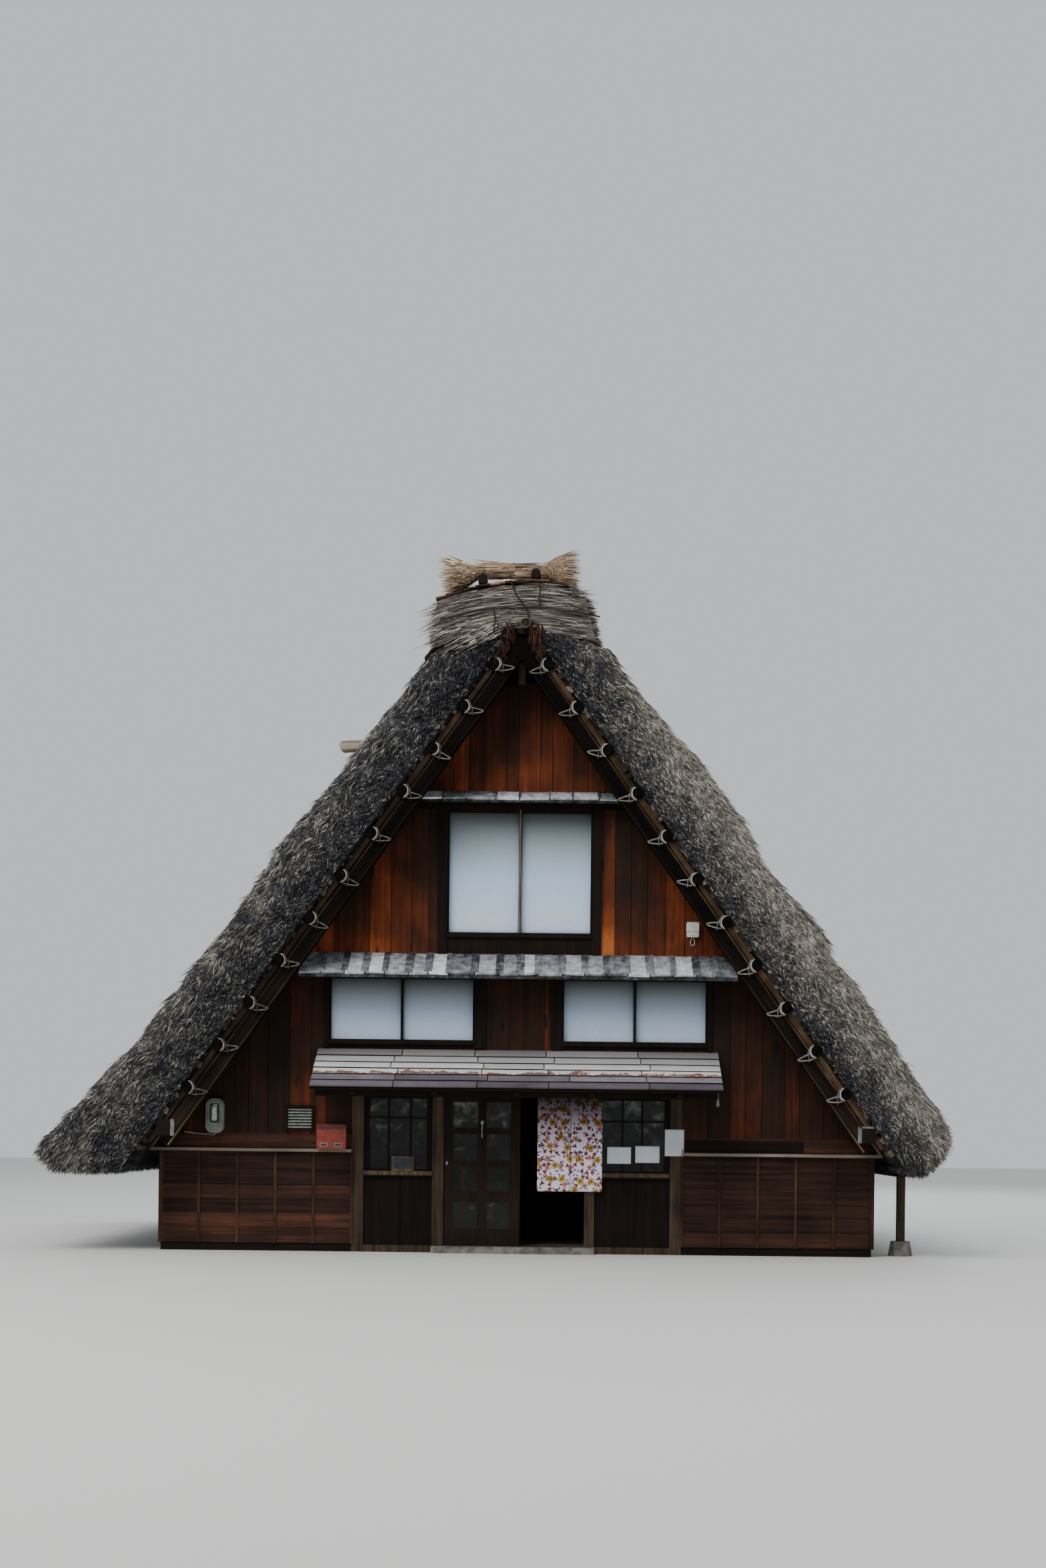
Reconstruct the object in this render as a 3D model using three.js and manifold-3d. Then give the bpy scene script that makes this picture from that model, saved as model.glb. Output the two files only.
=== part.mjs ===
import * as THREE from 'three';
import { mergeVertices } from 'three/addons/utils/BufferGeometryUtils.js';
import Module from 'manifold-3d';

// A thatched farmhouse with a steep gabled roof, in millimetres.
// X runs along the front, Y from the front gable to the back one and Z up.
// The origin is on the ground, midway between the side walls.

const wasm = await Module();
wasm.setup();

// Driving dimensions of the house
const gap = 0.3;
const houseWidth = 9090;
const houseDepth = 7270;
const wallThickness = 80;
const sillHeight = 90;
const wallJoint = 2350;
const secondFloor = 2600;
const atticFloor = 3900;
const gableBoardsTop = 7290;

// Driving dimensions of the roof
const pitch = THREE.MathUtils.degToRad(54.7);
const roofApex = 7980;
const vergeOverhang = 750;
const coverEdge = [1100, 7640];

// The eaves differ: the left one sweeps out, and the right one is cut short and laid in courses.
const eaveInner = { left: 4900, right: 4830 };
const thatchOutside = {
  left: [
    [5840, 1050], [6050, 1250], [5920, 1465], [5510, 1885], [5170, 2300], [4770, 2730], [4400, 3180],
    [3800, 4000], [3215, 4840], [2620, 5670], [1940, 6500], [1345, 7330], coverEdge,
  ],
  right: [
    [5180, 1090], [5416, 1320], [5490, 1540], [5300, 1875], [5010, 2295], [4690, 2795], [4358, 3263],
    [3940, 3815], [3905, 3970], [3820, 4210], [3520, 4500], [3150, 4890], [2980, 5103], [2876, 5392],
    [2581, 5836], [2394, 6074], [2130, 6360], [1945, 6500], [1616, 6935], [1243, 7408], coverEdge,
  ],
};
const ridgeSeatTop = 7870;
const ridgeCoverTop = 8430;
const ridgeHollow = [60, 7890];
const ridgeCoverShoulder = [1000, 8180];
const purlinRadius = 75;
const purlinCount = 11;
const firstPurlin = 335;
const purlinSpacing = 650;
const purlinNotch = 15;
const purlinSides = 8;
const purlinEnd = 20;
const rafterDepth = 175;
const rafterWidth = 140;
const rafterPairs = 5;
const rafterOutside = 620;
const wallPlate = { inner: 4255, outer: 4470, bottom: 1465, top: 1665, reach: 725 };

// Driving dimensions of the front bay, its doors and its canopy
const post = 150;
const bayHalf = 2035;
const doorPost = { left: -1082, right: -938 };
const jamb = { left: 868, right: 996 };
const frameFront = 10;
const frameBack = 130;
const headBottom = 2000;
const headTop = 2140;
const grooveDepth = 20;
const sillGroove = 10;
const clearance = 5;
const leafWidth = 975;
const leafThickness = 30;
const leafTracks = { outer: 22, inner: 72 };
const canopyDepth = 900;
const canopyHalf = 2560;
const canopyTop = 2593;
const canopyDrop = 487;

// The plan: the canopy's edge and the back verge are equally far from the origin.
const front = -(houseDepth + vergeOverhang - canopyDepth) / 2;
const back = front + houseDepth;
const halfWidth = houseWidth / 2;
const bayOuter = bayHalf + post / 2;
const bayInner = bayHalf - post / 2;

const colours = {
  thatch: [0x3f3c38, 0.95],
  ridge: [0x6b6257, 0.95],
  straw: [0xb08a5a, 0.9],
  boards: [0x7a3a18, 0.75],
  darkBoards: [0x2a1a14, 0.75],
  timber: [0x33211a, 0.7],
  door: [0x2e1c15, 0.6],
  grey: [0x9b9a95, 0.85],
  canopy: [0x9a8f87, 0.85],
  blinds: [0xb7c3d1, 0.8],
  glass: [0x9fb0b8, 0.1],
  stone: [0x8a857c, 0.9],
  earth: [0x6f675c, 0.95],
  meter: [0x6d7a70, 0.5],
  mailbox: [0xa8382a, 0.4],
  white: [0xd9d8d2, 0.5],
  cloth: [0xe3cdc8, 0.9],
  log: [0x6a5645, 0.85],
};

const house = new THREE.Group();

function add(name, geometry, colour) {
  const [color, roughness] = colours[colour];
  const mesh = new THREE.Mesh(geometry, new THREE.MeshStandardMaterial({ color, roughness, metalness: 0 }));
  mesh.name = name;
  house.add(mesh);
}

// Joining and cutting
function solid(geometry) {
  const plain = geometry.clone();
  plain.deleteAttribute('normal');
  plain.deleteAttribute('uv');
  const merged = mergeVertices(plain, 1e-3);
  return new wasm.Manifold(new wasm.Mesh({
    numProp: 3,
    vertProperties: new Float32Array(merged.attributes.position.array),
    triVerts: new Uint32Array(merged.index.array),
  }));
}

function surface(body) {
  const mesh = body.getMesh();
  const geometry = new THREE.BufferGeometry();
  geometry.setAttribute('position', new THREE.BufferAttribute(new Float32Array(mesh.vertProperties), 3));
  geometry.setIndex(new THREE.BufferAttribute(new Uint32Array(mesh.triVerts), 1));
  return geometry;
}

function joined(pieces) {
  const [first, ...others] = pieces.map(solid);
  return surface(others.reduce((whole, piece) => whole.add(piece), first));
}

function cut(geometry, tools) {
  return surface(tools.map(solid).reduce((whole, tool) => whole.subtract(tool), solid(geometry)));
}

// Shapes
function box(x, y, z) {
  const geometry = new THREE.BoxGeometry(x[1] - x[0], y[1] - y[0], z[1] - z[0]);
  return geometry.translate((x[0] + x[1]) / 2, (y[0] + y[1]) / 2, (z[0] + z[1]) / 2);
}

function outlineShape(points) {
  return new THREE.Shape(points.map(([a, b]) => new THREE.Vector2(a, b)));
}

// An outline in X and Z, run along Y
function alongY(points, y) {
  const geometry = new THREE.ExtrudeGeometry(outlineShape(points), { depth: y[1] - y[0], bevelEnabled: false });
  return geometry.rotateX(Math.PI / 2).translate(0, y[1], 0);
}

// An outline in Y and Z, run along X
function alongX(points, x) {
  const geometry = new THREE.ExtrudeGeometry(outlineShape(points), { depth: x[1] - x[0], bevelEnabled: false });
  const turn = new THREE.Matrix4().makeBasis(
    new THREE.Vector3(0, 1, 0),
    new THREE.Vector3(0, 0, 1),
    new THREE.Vector3(1, 0, 0),
  );
  return geometry.applyMatrix4(turn).translate(x[0], 0, 0);
}

function rectangle(x0, x1, z0, z1) {
  return [[x0, z0], [x1, z0], [x1, z1], [x0, z1]];
}

// A rectangle of a wall, made deep enough to cut right through it
function through([x0, x1, z0, z1], y) {
  return box([x0, x1], [y[0] - 1, y[1] + 1], [z0, z1]);
}

// A distance out of the front or back wall, as a pair of Y values
const faces = {
  front: (inner, outer) => [front - outer, front - inner],
  back: (inner, outer) => [back + inner, back + outer],
};

// The underside of the thatch, and lines that lie a given depth below it
function roofHeight(x, depth = 0) {
  return roofApex - depth / Math.cos(pitch) - Math.tan(pitch) * Math.abs(x);
}

function roofReach(z, depth = 0) {
  return (roofApex - z) / Math.tan(pitch) - depth / Math.sin(pitch);
}

function mirrored(points, side) {
  return points.map(([x, z]) => [side * x, z]);
}

// Purlins: logs under the thatch that run through both gables
function purlins(side, extra = 0) {
  const logs = [];
  const apothem = purlinRadius + extra;
  const radius = apothem / Math.cos(Math.PI / purlinSides);
  const length = houseDepth + 2 * (vergeOverhang - purlinEnd) + 2 * extra;
  for (let i = 0; i < purlinCount; i += 1) {
    const x = firstPurlin + i * purlinSpacing * Math.cos(pitch);
    const z = roofHeight(x, purlinRadius + gap);
    const start = side * pitch - Math.PI / purlinSides;
    const log = new THREE.CylinderGeometry(radius, radius, length, purlinSides, 1, false, start);
    logs.push(log.translate(side * x, (front + back) / 2, z));
  }
  return logs;
}

// One slope of the roof frame: rafters that stand on the wall plate, with the purlins notched in
function roofFrame(side) {
  const rafterTop = 2 * purlinRadius + gap - purlinNotch;
  const rafterBottom = rafterTop + rafterDepth;
  const seat = wallPlate.top + gap;
  const heel = wallPlate.inner - gap;
  const profile = [
    [gap, roofHeight(gap, rafterTop)],
    [roofReach(seat, rafterTop), seat],
    [heel, seat],
    [heel, roofHeight(heel, rafterBottom)],
    [gap, roofHeight(gap, rafterBottom)],
  ];
  const step = (houseDepth + 2 * rafterOutside) / (rafterPairs - 1);
  const pieces = [];
  for (let i = 0; i < rafterPairs; i += 1) {
    const y = front - rafterOutside + i * step;
    pieces.push(alongY(mirrored(profile, side), [y - rafterWidth / 2, y + rafterWidth / 2]));
  }
  return joined([...pieces, ...purlins(side)]);
}

// The ridge seat is where the top of the thatch meets the roof's underside.
const seatSlope = (ridgeSeatTop - coverEdge[1]) / coverEdge[0];
const seatHalf = (roofApex - ridgeSeatTop) / (Math.tan(pitch) - seatSlope);
const seatHeight = roofHeight(seatHalf);
const roofRun = [front - vergeOverhang, back + vergeOverhang];

function thatch(name, side) {
  const inner = eaveInner[name];
  const profile = [[seatHalf, seatHeight], [inner, roofHeight(inner)], ...thatchOutside[name]];
  return alongY(mirrored(profile, side), roofRun);
}

// The ridge cover's top is an arch of eight flats, from the right shoulder to the left one.
const ridgeCoverFlats = 8;

function ridgeCoverPoint(i) {
  const [shoulder, shoulderHeight] = ridgeCoverShoulder;
  const across = 1 - 2 * i / ridgeCoverFlats;
  return [shoulder * across, ridgeCoverTop - (ridgeCoverTop - shoulderHeight) * across ** 2];
}

function ridgeCover() {
  const [edge, edgeHeight] = coverEdge;
  const top = Array.from({ length: ridgeCoverFlats + 1 }, (unused, i) => ridgeCoverPoint(i));
  const [hollow, hollowHeight] = ridgeHollow;
  const bottom = [
    [-edge, edgeHeight], [-seatHalf, seatHeight], [-hollow, hollowHeight],
    [hollow, hollowHeight], [seatHalf, seatHeight], [edge, edgeHeight],
  ];
  return alongY([...bottom.map(([x, z]) => [x, z + gap]), ...top], roofRun);
}

// Straw bundles across the ridge, tied on two long poles that lie on the ridge cover
const bundleCount = 9;
const bundleInset = 240;
const bundleCentre = -100;
const bundleHeight = 8600;
const bundlePole = { out: 330, radius: 65, inset: 50 };
const bundleOutline = [[0, -900], [170, -895], [225, -850], [195, -700], [100, -330], [105, 0]];

// The height and slope of the ridge cover's top at x
function ridgeCoverAt(x) {
  const i = Math.floor((1 - x / ridgeCoverShoulder[0]) * ridgeCoverFlats / 2);
  const [[x0, z0], [x1, z1]] = [ridgeCoverPoint(i), ridgeCoverPoint(i + 1)];
  const slope = (z1 - z0) / (x1 - x0);
  return { slope, height: z0 + slope * (x - x0) };
}

function ridgeBundles() {
  const pieces = [];
  const { out, radius, inset } = bundlePole;
  for (const x of [bundleCentre - out, bundleCentre + out]) {
    const { slope, height } = ridgeCoverAt(x);
    const length = roofRun[1] - roofRun[0] - 2 * inset;
    const pole = new THREE.CylinderGeometry(radius, radius, length, 8, 1, false, -Math.atan(slope));
    const rise = (radius + gap) * Math.hypot(1, slope);
    pieces.push(pole.translate(x, (roofRun[0] + roofRun[1]) / 2, height + rise));
  }
  const half = bundleOutline.map(([girth, along]) => new THREE.Vector2(girth, along));
  const rest = bundleOutline.slice(0, -1).reverse().map(([girth, along]) => new THREE.Vector2(girth, -along));
  const step = (roofRun[1] - roofRun[0] - 2 * bundleInset) / (bundleCount - 1);
  for (let i = 0; i < bundleCount; i += 1) {
    const bundle = new THREE.LatheGeometry([...half, ...rest], 10);
    bundle.rotateZ(-Math.PI / 2);
    pieces.push(bundle.translate(bundleCentre, roofRun[0] + bundleInset + i * step, bundleHeight));
  }
  return joined(pieces);
}

function ridgePole() {
  const radius = 65;
  const length = houseDepth + 2 * (vergeOverhang - purlinEnd);
  const height = roofHeight(gap, 2 * purlinRadius + gap - purlinNotch) + gap + radius;
  return new THREE.CylinderGeometry(radius, radius, length, 12).translate(0, (front + back) / 2, height);
}

// Walls
const wallEnd = wallPlate.outer;
const fatPurlins = [...purlins(1, gap), ...purlins(-1, gap)];

function lowerWallOutline(inner) {
  const under = wallPlate.bottom - gap;
  const over = wallPlate.top + gap;
  const notch = wallPlate.inner - gap;
  const top = wallJoint - gap;
  return [
    [inner, sillHeight + gap], [wallEnd, sillHeight + gap], [wallEnd, under], [notch, under], [notch, over],
    [Math.min(wallEnd - 1, roofReach(over, gap)), over], [roofReach(top, gap), top], [inner, top],
  ];
}

function frontWall(side) {
  const outline = mirrored(lowerWallOutline(bayOuter + gap), side);
  return cut(alongY(outline, faces.front(-wallThickness, 0)), fatPurlins);
}

function backWall() {
  const half = lowerWallOutline(0).slice(1, -1);
  const outline = [...half, ...mirrored(half, -1).reverse()];
  return cut(alongY(outline, faces.back(-wallThickness, 0)), fatPurlins);
}

const secondWindow = { centre: 1490, half: 952, bottom: 2675, top: 3545 };
const atticWindow = { centre: 0, half: 950, bottom: 4055, top: 5685 };

function hole(window, side = 1) {
  const centre = side * window.centre;
  return [centre - window.half, centre + window.half, window.bottom, window.top];
}

function gableWall(face) {
  const low = roofReach(wallJoint, gap);
  const high = roofReach(gableBoardsTop, gap);
  const outline = [[-low, wallJoint], [low, wallJoint], [high, gableBoardsTop], [-high, gableBoardsTop]];
  const run = faces[face](-wallThickness, 0);
  const holes = [hole(secondWindow, -1), hole(secondWindow, 1), hole(atticWindow)];
  return cut(alongY(outline, run), [...holes.map((opening) => through(opening, run)), ...fatPurlins]);
}

function sideWall(side) {
  const inner = wallEnd + gap;
  const profile = [
    [inner, sillHeight + gap], [halfWidth, sillHeight + gap],
    [halfWidth, roofHeight(halfWidth, gap)], [inner, roofHeight(inner, gap)],
  ];
  return alongY(mirrored(profile, side), [front, back]);
}

function wallPlateBeam(side) {
  const outline = rectangle(wallPlate.inner, wallPlate.outer, wallPlate.bottom, wallPlate.top);
  return alongY(mirrored(outline, side), [front - wallPlate.reach, back + wallPlate.reach]);
}

// Windows of the upper storeys: a ring in the opening, with a post at each side, a sill with a board
// under it and a lintel on the wall's face. A second-storey window has its broad post at the inner side.
const ring = { width: 45, inside: 70, outside: 15, mullion: 28, joint: 5 };
const casing = { lap: 25, depth: 45, boardDepth: 25, joint: 1 };
const windowSill = { above: 35, below: 20, depth: 60 };
const lintel = { below: 10, above: 100, depth: 40 };
const secondTrim = { inward: 150, outward: 60, below: 60, wings: 60 };
const atticTrim = { inward: 120, outward: 120, below: 225, wings: 340 };

function windowFrame(window, side, face, { inward, outward, below, wings }) {
  const [x0, x1, z0, z1] = hole(window, side);
  const opening = [x0 + ring.width, x1 - ring.width, z0 + ring.width, z1 - ring.width];
  const middle = (x0 + x1) / 2;
  const deep = faces[face](-ring.inside, ring.outside);
  const skin = faces[face](gap, casing.depth);
  const ringOutline = rectangle(x0 + gap, x1 - gap, z0 + gap, z1 - gap);
  const postRun = [z0 - below, z1 + lintel.above];
  const inner = [x0 + casing.lap, x1 - casing.lap];
  const between = [inner[0] - casing.joint, inner[1] + casing.joint];
  const [left, right] = side < 0 ? [outward, inward] : [inward, outward];
  const pieces = [
    cut(alongY(ringOutline, deep), [through(opening, deep)]),
    box(
      [middle - ring.mullion / 2, middle + ring.mullion / 2],
      deep,
      [opening[2] - ring.joint, opening[3] + ring.joint],
    ),
    box([inner[0] - left, inner[0]], skin, postRun),
    box([inner[1], inner[1] + right], skin, postRun),
    box(between, faces[face](gap, casing.boardDepth), [z0 - below, z0 + windowSill.above]),
    box(between, faces[face](gap, windowSill.depth), [z0 - windowSill.below, z0 + windowSill.above]),
    box(
      [x0 - wings, x1 + wings],
      faces[face](gap, lintel.depth),
      [z1 - lintel.below, z1 + lintel.above],
    ),
  ];
  return joined(pieces);
}

const blindCloth = { thickness: 6, lap: 30 };

function blinds(window, face) {
  const half = window.centre + window.half + blindCloth.lap;
  const back = -wallThickness - gap;
  return box(
    [-half, half],
    faces[face](back - blindCloth.thickness, back),
    [window.bottom - blindCloth.lap, window.top + blindCloth.lap],
  );
}

// Sloping board roofs on the front wall, given by their height at the wall and their fall
const pentRoofs = {
  lower: { half: 2760, top: 3800, depth: 500, drop: 285, thickness: 35 },
  upper: { half: 1290, top: 5880, depth: 250, drop: 120, thickness: 30 },
};
const canopy = { half: canopyHalf, top: canopyTop, depth: canopyDepth, drop: canopyDrop, thickness: 40 };

function boardRoof({ half, top, depth, drop, thickness }) {
  const slope = drop / depth;
  const upright = thickness * Math.hypot(1, slope);
  const profile = [
    [front - gap, top - slope * gap], [front - depth, top - drop],
    [front - depth, top - drop - upright], [front - gap, top - slope * gap - upright],
  ];
  return alongX(profile, [-half, half]);
}

const armDepth = 75;
const armWidth = 80;
const armReach = 860;
const armPlaces = [-bayHalf, -1010, 0, 932, bayHalf];
const canopyBeam = { out: [700, 780], height: 80, inset: 60, notch: 20 };

// The underside of the canopy's boards, a given distance out from the wall
function canopyUnderside(out) {
  const slope = canopyDrop / canopyDepth;
  return canopyTop - slope * out - canopy.thickness * Math.hypot(1, slope) - 2 * gap;
}

function canopyFrame() {
  const upright = armDepth * Math.hypot(1, canopyDrop / canopyDepth);
  const near = canopyUnderside(gap);
  const far = canopyUnderside(armReach);
  const profile = [
    [front - gap, near], [front - armReach, far],
    [front - armReach, far - upright], [front - gap, near - upright],
  ];
  const arms = armPlaces.map((x) => alongX(profile, [x - armWidth / 2, x + armWidth / 2]));
  const beamHalf = canopyHalf - canopyBeam.inset;
  const beamTop = canopyUnderside(canopyBeam.out[1]) - upright + canopyBeam.notch;
  const beam = box([-beamHalf, beamHalf], faces.front(...canopyBeam.out), [beamTop - canopyBeam.height, beamTop]);
  return joined([beam, ...arms]);
}

// The front bay: four posts between a grooved threshold and a grooved head beam
const tenon = 10;
const leafGlass = { thickness: 3, lap: 40 };

function bayFrame() {
  const depth = faces.front(-frameBack, frameFront);
  const posts = [
    [-bayOuter, -bayInner], [doorPost.left, doorPost.right], [jamb.left, jamb.right], [bayInner, bayOuter],
  ];
  const timbers = posts.map((x) => box(x, depth, [sillHeight - tenon, headBottom + tenon]));
  const threshold = box([-bayOuter, bayOuter], depth, [0, sillHeight]);
  const head = box([-bayOuter, bayOuter], depth, [headBottom, headTop]);
  const grooves = [];
  for (const track of Object.values(leafTracks)) {
    const leafBack = front + track + leafThickness + leafGlass.thickness + 2 * gap;
    const run = [front + track - clearance, leafBack + clearance];
    const span = [doorPost.right, jamb.left];
    grooves.push(box(span, run, [sillHeight - sillGroove, sillHeight + 1]));
    grooves.push(box(span, run, [headBottom - 1, headBottom + grooveDepth]));
  }
  return cut(joined([threshold, head, ...timbers]), grooves);
}

// A sliding leaf: stiles and rails round eight panes, on two small wheels in its groove
const leafRows = [[300, 650], [780, 1100], [1170, 1520], [1600, 1930]];
const leafColumns = [[-822, -503], [-392, -82]];
const leafLeft = doorPost.right + clearance;
const leafWheel = { radius: 22, width: 12, inset: 140 };
const leafBottom = sillHeight - sillGroove + clearance;
const leafTop = headBottom + grooveDepth - clearance;

function doorLeaf(track) {
  const run = [front + track, front + track + leafThickness];
  const right = leafLeft + leafWidth;
  const panel = alongY(rectangle(leafLeft, right, leafBottom, leafTop), run);
  const panes = leafRows.flatMap((z) => leafColumns.map((x) => through([...x, ...z], run)));
  const { radius, width, inset } = leafWheel;
  const wheels = [inset, leafWidth - inset].map((along) => {
    const wheel = new THREE.CylinderGeometry(radius, radius, width, 16);
    const height = sillHeight - sillGroove + gap + radius;
    return wheel.translate(leafLeft + along, front + track + leafThickness / 2, height);
  });
  return joined([cut(panel, panes), ...wheels]);
}

function doorGlass(track) {
  const behind = front + track + leafThickness + gap;
  const { thickness, lap } = leafGlass;
  return box(
    [leafColumns[0][0] - lap, leafColumns.at(-1)[1] + lap],
    [behind, behind + thickness],
    [leafRows[0][0] - lap, leafRows.at(-1)[1] + lap],
  );
}

// The fixed windows beside the doors: boarded panel, sill and glazed ring.
// Distances out of the wall's face are below zero, so these stand back from it.
const bayWindow = {
  sill: [970, 1032], sillOut: [-75, 40], opening: [1060, 1965], stile: 55, ringOut: [-60, -15],
  panelOut: [-50, -15], batten: 60, battenOut: [-20, -5], glass: 3, glassLap: 20,
};

function bayWindowFrame(x0, x1) {
  const left = x0 + gap;
  const right = x1 - gap;
  const middle = (left + right) / 2;
  const [low, high] = bayWindow.sill;
  const boards = [sillHeight + gap, low + tenon];
  const opening = [left + bayWindow.stile, right - bayWindow.stile, ...bayWindow.opening];
  const deep = faces.front(...bayWindow.ringOut);
  const glazed = alongY(rectangle(left, right, high - tenon, headBottom - gap), deep);
  return joined([
    box([left, right], faces.front(...bayWindow.panelOut), boards),
    box([middle - bayWindow.batten / 2, middle + bayWindow.batten / 2], faces.front(...bayWindow.battenOut), boards),
    box([left, right], faces.front(...bayWindow.sillOut), bayWindow.sill),
    cut(glazed, [through(opening, deep)]),
  ]);
}

function bayGlass(x0, x1) {
  const [low, high] = bayWindow.opening;
  const behind = bayWindow.ringOut[0] - gap;
  const side = bayWindow.stile - bayWindow.glassLap;
  return box(
    [x0 + side, x1 - side],
    faces.front(behind - bayWindow.glass, behind),
    [low - bayWindow.glassLap, high + bayWindow.glassLap],
  );
}

// Ground: the timber sill under the walls, the hard floor inside it and the step
const sillWidth = 120;

function groundSill() {
  const inner = halfWidth - sillWidth;
  const cutter = [-1, sillHeight + 1];
  return cut(box([-halfWidth, halfWidth], [front, back], [0, sillHeight]), [
    box([-inner, inner], [front + sillWidth, back - sillWidth], cutter),
    box([-bayOuter - gap, bayOuter + gap], [front - 1, front + sillWidth + 1], cutter),
  ]);
}

function groundFloor() {
  const inset = sillWidth + gap;
  return box(
    [-halfWidth + inset, halfWidth - inset],
    [front + frameBack + gap, back - inset],
    [0, sillHeight - 10],
  );
}

function upperFloor(level) {
  const thickness = 60;
  const rafterInside = 2 * purlinRadius + gap - purlinNotch + rafterDepth;
  const half = roofReach(level, rafterInside) - 2;
  return box([-half, half], [front + wallThickness + gap, back - wallThickness - gap], [level - thickness, level]);
}

// The right eave stands on posts and stones.
const eavePost = { x: 4985, half: 50, first: 400, count: 3 };
const eaveBeam = { radius: 55, past: 150 };
const stone = { radius: 160, height: 190, taper: 0.8 };

function eavePostPlaces() {
  const step = (houseDepth - 2 * eavePost.first) / (eavePost.count - 1);
  return Array.from({ length: eavePost.count }, (unused, i) => front + eavePost.first + i * step);
}

function eaveFrame() {
  const { x, half, first } = eavePost;
  const inner = eaveInner.right;
  const [tip, tipHeight] = thatchOutside.right[0];
  const buttSlope = (roofHeight(inner) - tipHeight) / (tip - inner);
  const buttHeight = roofHeight(inner) - buttSlope * (x - inner);
  const centre = buttHeight - (eaveBeam.radius + gap) * Math.hypot(1, buttSlope);
  const length = houseDepth - 2 * (first - eaveBeam.past);
  const turn = Math.atan(buttSlope);
  const beam = new THREE.CylinderGeometry(eaveBeam.radius, eaveBeam.radius, length, 12, 1, false, turn);
  beam.translate(x, (front + back) / 2, centre);
  const posts = eavePostPlaces().map((y) => (
    box([x - half, x + half], [y - half, y + half], [stone.height + gap, centre])
  ));
  return joined([beam, ...posts]);
}

function eaveStone(y) {
  const block = new THREE.CylinderGeometry(stone.radius * stone.taper, stone.radius, stone.height, 8);
  return block.rotateX(Math.PI / 2).translate(eavePost.x, y, stone.height / 2);
}

// Fittings on the front
const ledgeHeight = [1270, 1310];
const ledgeDepth = 90;

function ledge(x0, x1) {
  return box([x0, x1], faces.front(gap, ledgeDepth), ledgeHeight);
}

function roundedBox(x, y, z, radius) {
  const shape = new THREE.Shape();
  const [x0, x1] = x;
  const [z0, z1] = z;
  shape.moveTo(x0 + radius, z0);
  shape.lineTo(x1 - radius, z0).absarc(x1 - radius, z0 + radius, radius, -Math.PI / 2, 0, false);
  shape.lineTo(x1, z1 - radius).absarc(x1 - radius, z1 - radius, radius, 0, Math.PI / 2, false);
  shape.lineTo(x0 + radius, z1).absarc(x0 + radius, z1 - radius, radius, Math.PI / 2, Math.PI, false);
  shape.lineTo(x0, z0 + radius).absarc(x0 + radius, z0 + radius, radius, Math.PI, 1.5 * Math.PI, false);
  const geometry = new THREE.ExtrudeGeometry(shape, { depth: y[1] - y[0], bevelEnabled: false, curveSegments: 6 });
  return geometry.rotateX(Math.PI / 2).translate(0, y[1], 0);
}

function wallVent(x, z) {
  const rim = 30;
  const [floor, depth] = [15, 55];
  const shell = box(x, faces.front(gap, depth), z);
  const hollow = box([x[0] + rim, x[1] - rim], faces.front(floor, depth + 1), [z[0] + rim, z[1] - rim]);
  return cut(shell, [hollow]);
}

// The curtain rod on its two brackets, and the curtain with its slit
const rod = { centre: 675, length: 900, radius: 9, out: 48, height: 2010, brackets: [247, 1103] };
const bracket = { half: 8, lap: 4, rise: 6 };
const curtain = { x: [262, 1088], bottom: 800, thickness: 4, slit: [684, 690], slitTop: 1850 };

function norenRod() {
  const bar = new THREE.CylinderGeometry(rod.radius, rod.radius, rod.length, 10).rotateZ(Math.PI / 2);
  bar.translate(rod.centre, front - rod.out, rod.height);
  const brackets = rod.brackets.map((x) => box(
    [x - bracket.half, x + bracket.half],
    faces.front(frameFront + gap, rod.out + bracket.lap),
    [rod.height - bracket.rise, rod.height + bracket.rise],
  ));
  return joined([bar, ...brackets]);
}

function noren() {
  const { x, bottom, thickness, slit, slitTop } = curtain;
  const y = faces.front(rod.out - thickness / 2, rod.out + thickness / 2);
  const outline = rectangle(...x, bottom, rod.height - rod.radius - gap);
  return cut(alongY(outline, y), [through([...slit, bottom - 1, slitTop], y)]);
}

const lamp = {
  x: 2520, out: 520, stem: 8,
  bulb: [[0, 1895], [15, 1902], [23, 1925], [18, 1950], [14, 1970], [14, 2005], [8, 2010]],
};

function canopyLamp() {
  const top = canopyUnderside(lamp.out + lamp.stem);
  const profile = [...lamp.bulb, [lamp.stem, top], [0, top]];
  const shape = new THREE.LatheGeometry(profile.map(([r, z]) => new THREE.Vector2(r, z)), 12);
  return shape.rotateX(Math.PI / 2).translate(lamp.x, front - lamp.out, 0);
}

// The assembly
add('ground_sill', groundSill(), 'timber');
add('ground_floor', groundFloor(), 'earth');
add('door_step', box([doorPost.left, jamb.right], faces.front(frameFront + gap, 160), [0, 85]), 'stone');

add('front_wall_left', frontWall(-1), 'darkBoards');
add('front_wall_right', frontWall(1), 'darkBoards');
const overDoor = rectangle(-bayOuter, bayOuter, headTop + gap, wallJoint - gap);
add('wall_over_door', alongY(overDoor, faces.front(-wallThickness, 0)), 'darkBoards');
add('ledge_left', ledge(-4670, -bayOuter - gap), 'grey');
add('ledge_right', ledge(bayOuter + gap, 4640), 'grey');
add('bay_frame', bayFrame(), 'timber');
add('left_bay_window', bayWindowFrame(-bayInner, doorPost.left), 'timber');
add('right_bay_window', bayWindowFrame(jamb.right, bayInner), 'timber');
add('left_bay_glass', bayGlass(-bayInner, doorPost.left), 'glass');
add('right_bay_glass', bayGlass(jamb.right, bayInner), 'glass');
for (const [name, track] of Object.entries(leafTracks)) {
  add(`${name}_door`, doorLeaf(track), 'door');
  add(`${name}_door_glass`, doorGlass(track), 'glass');
}

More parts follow.
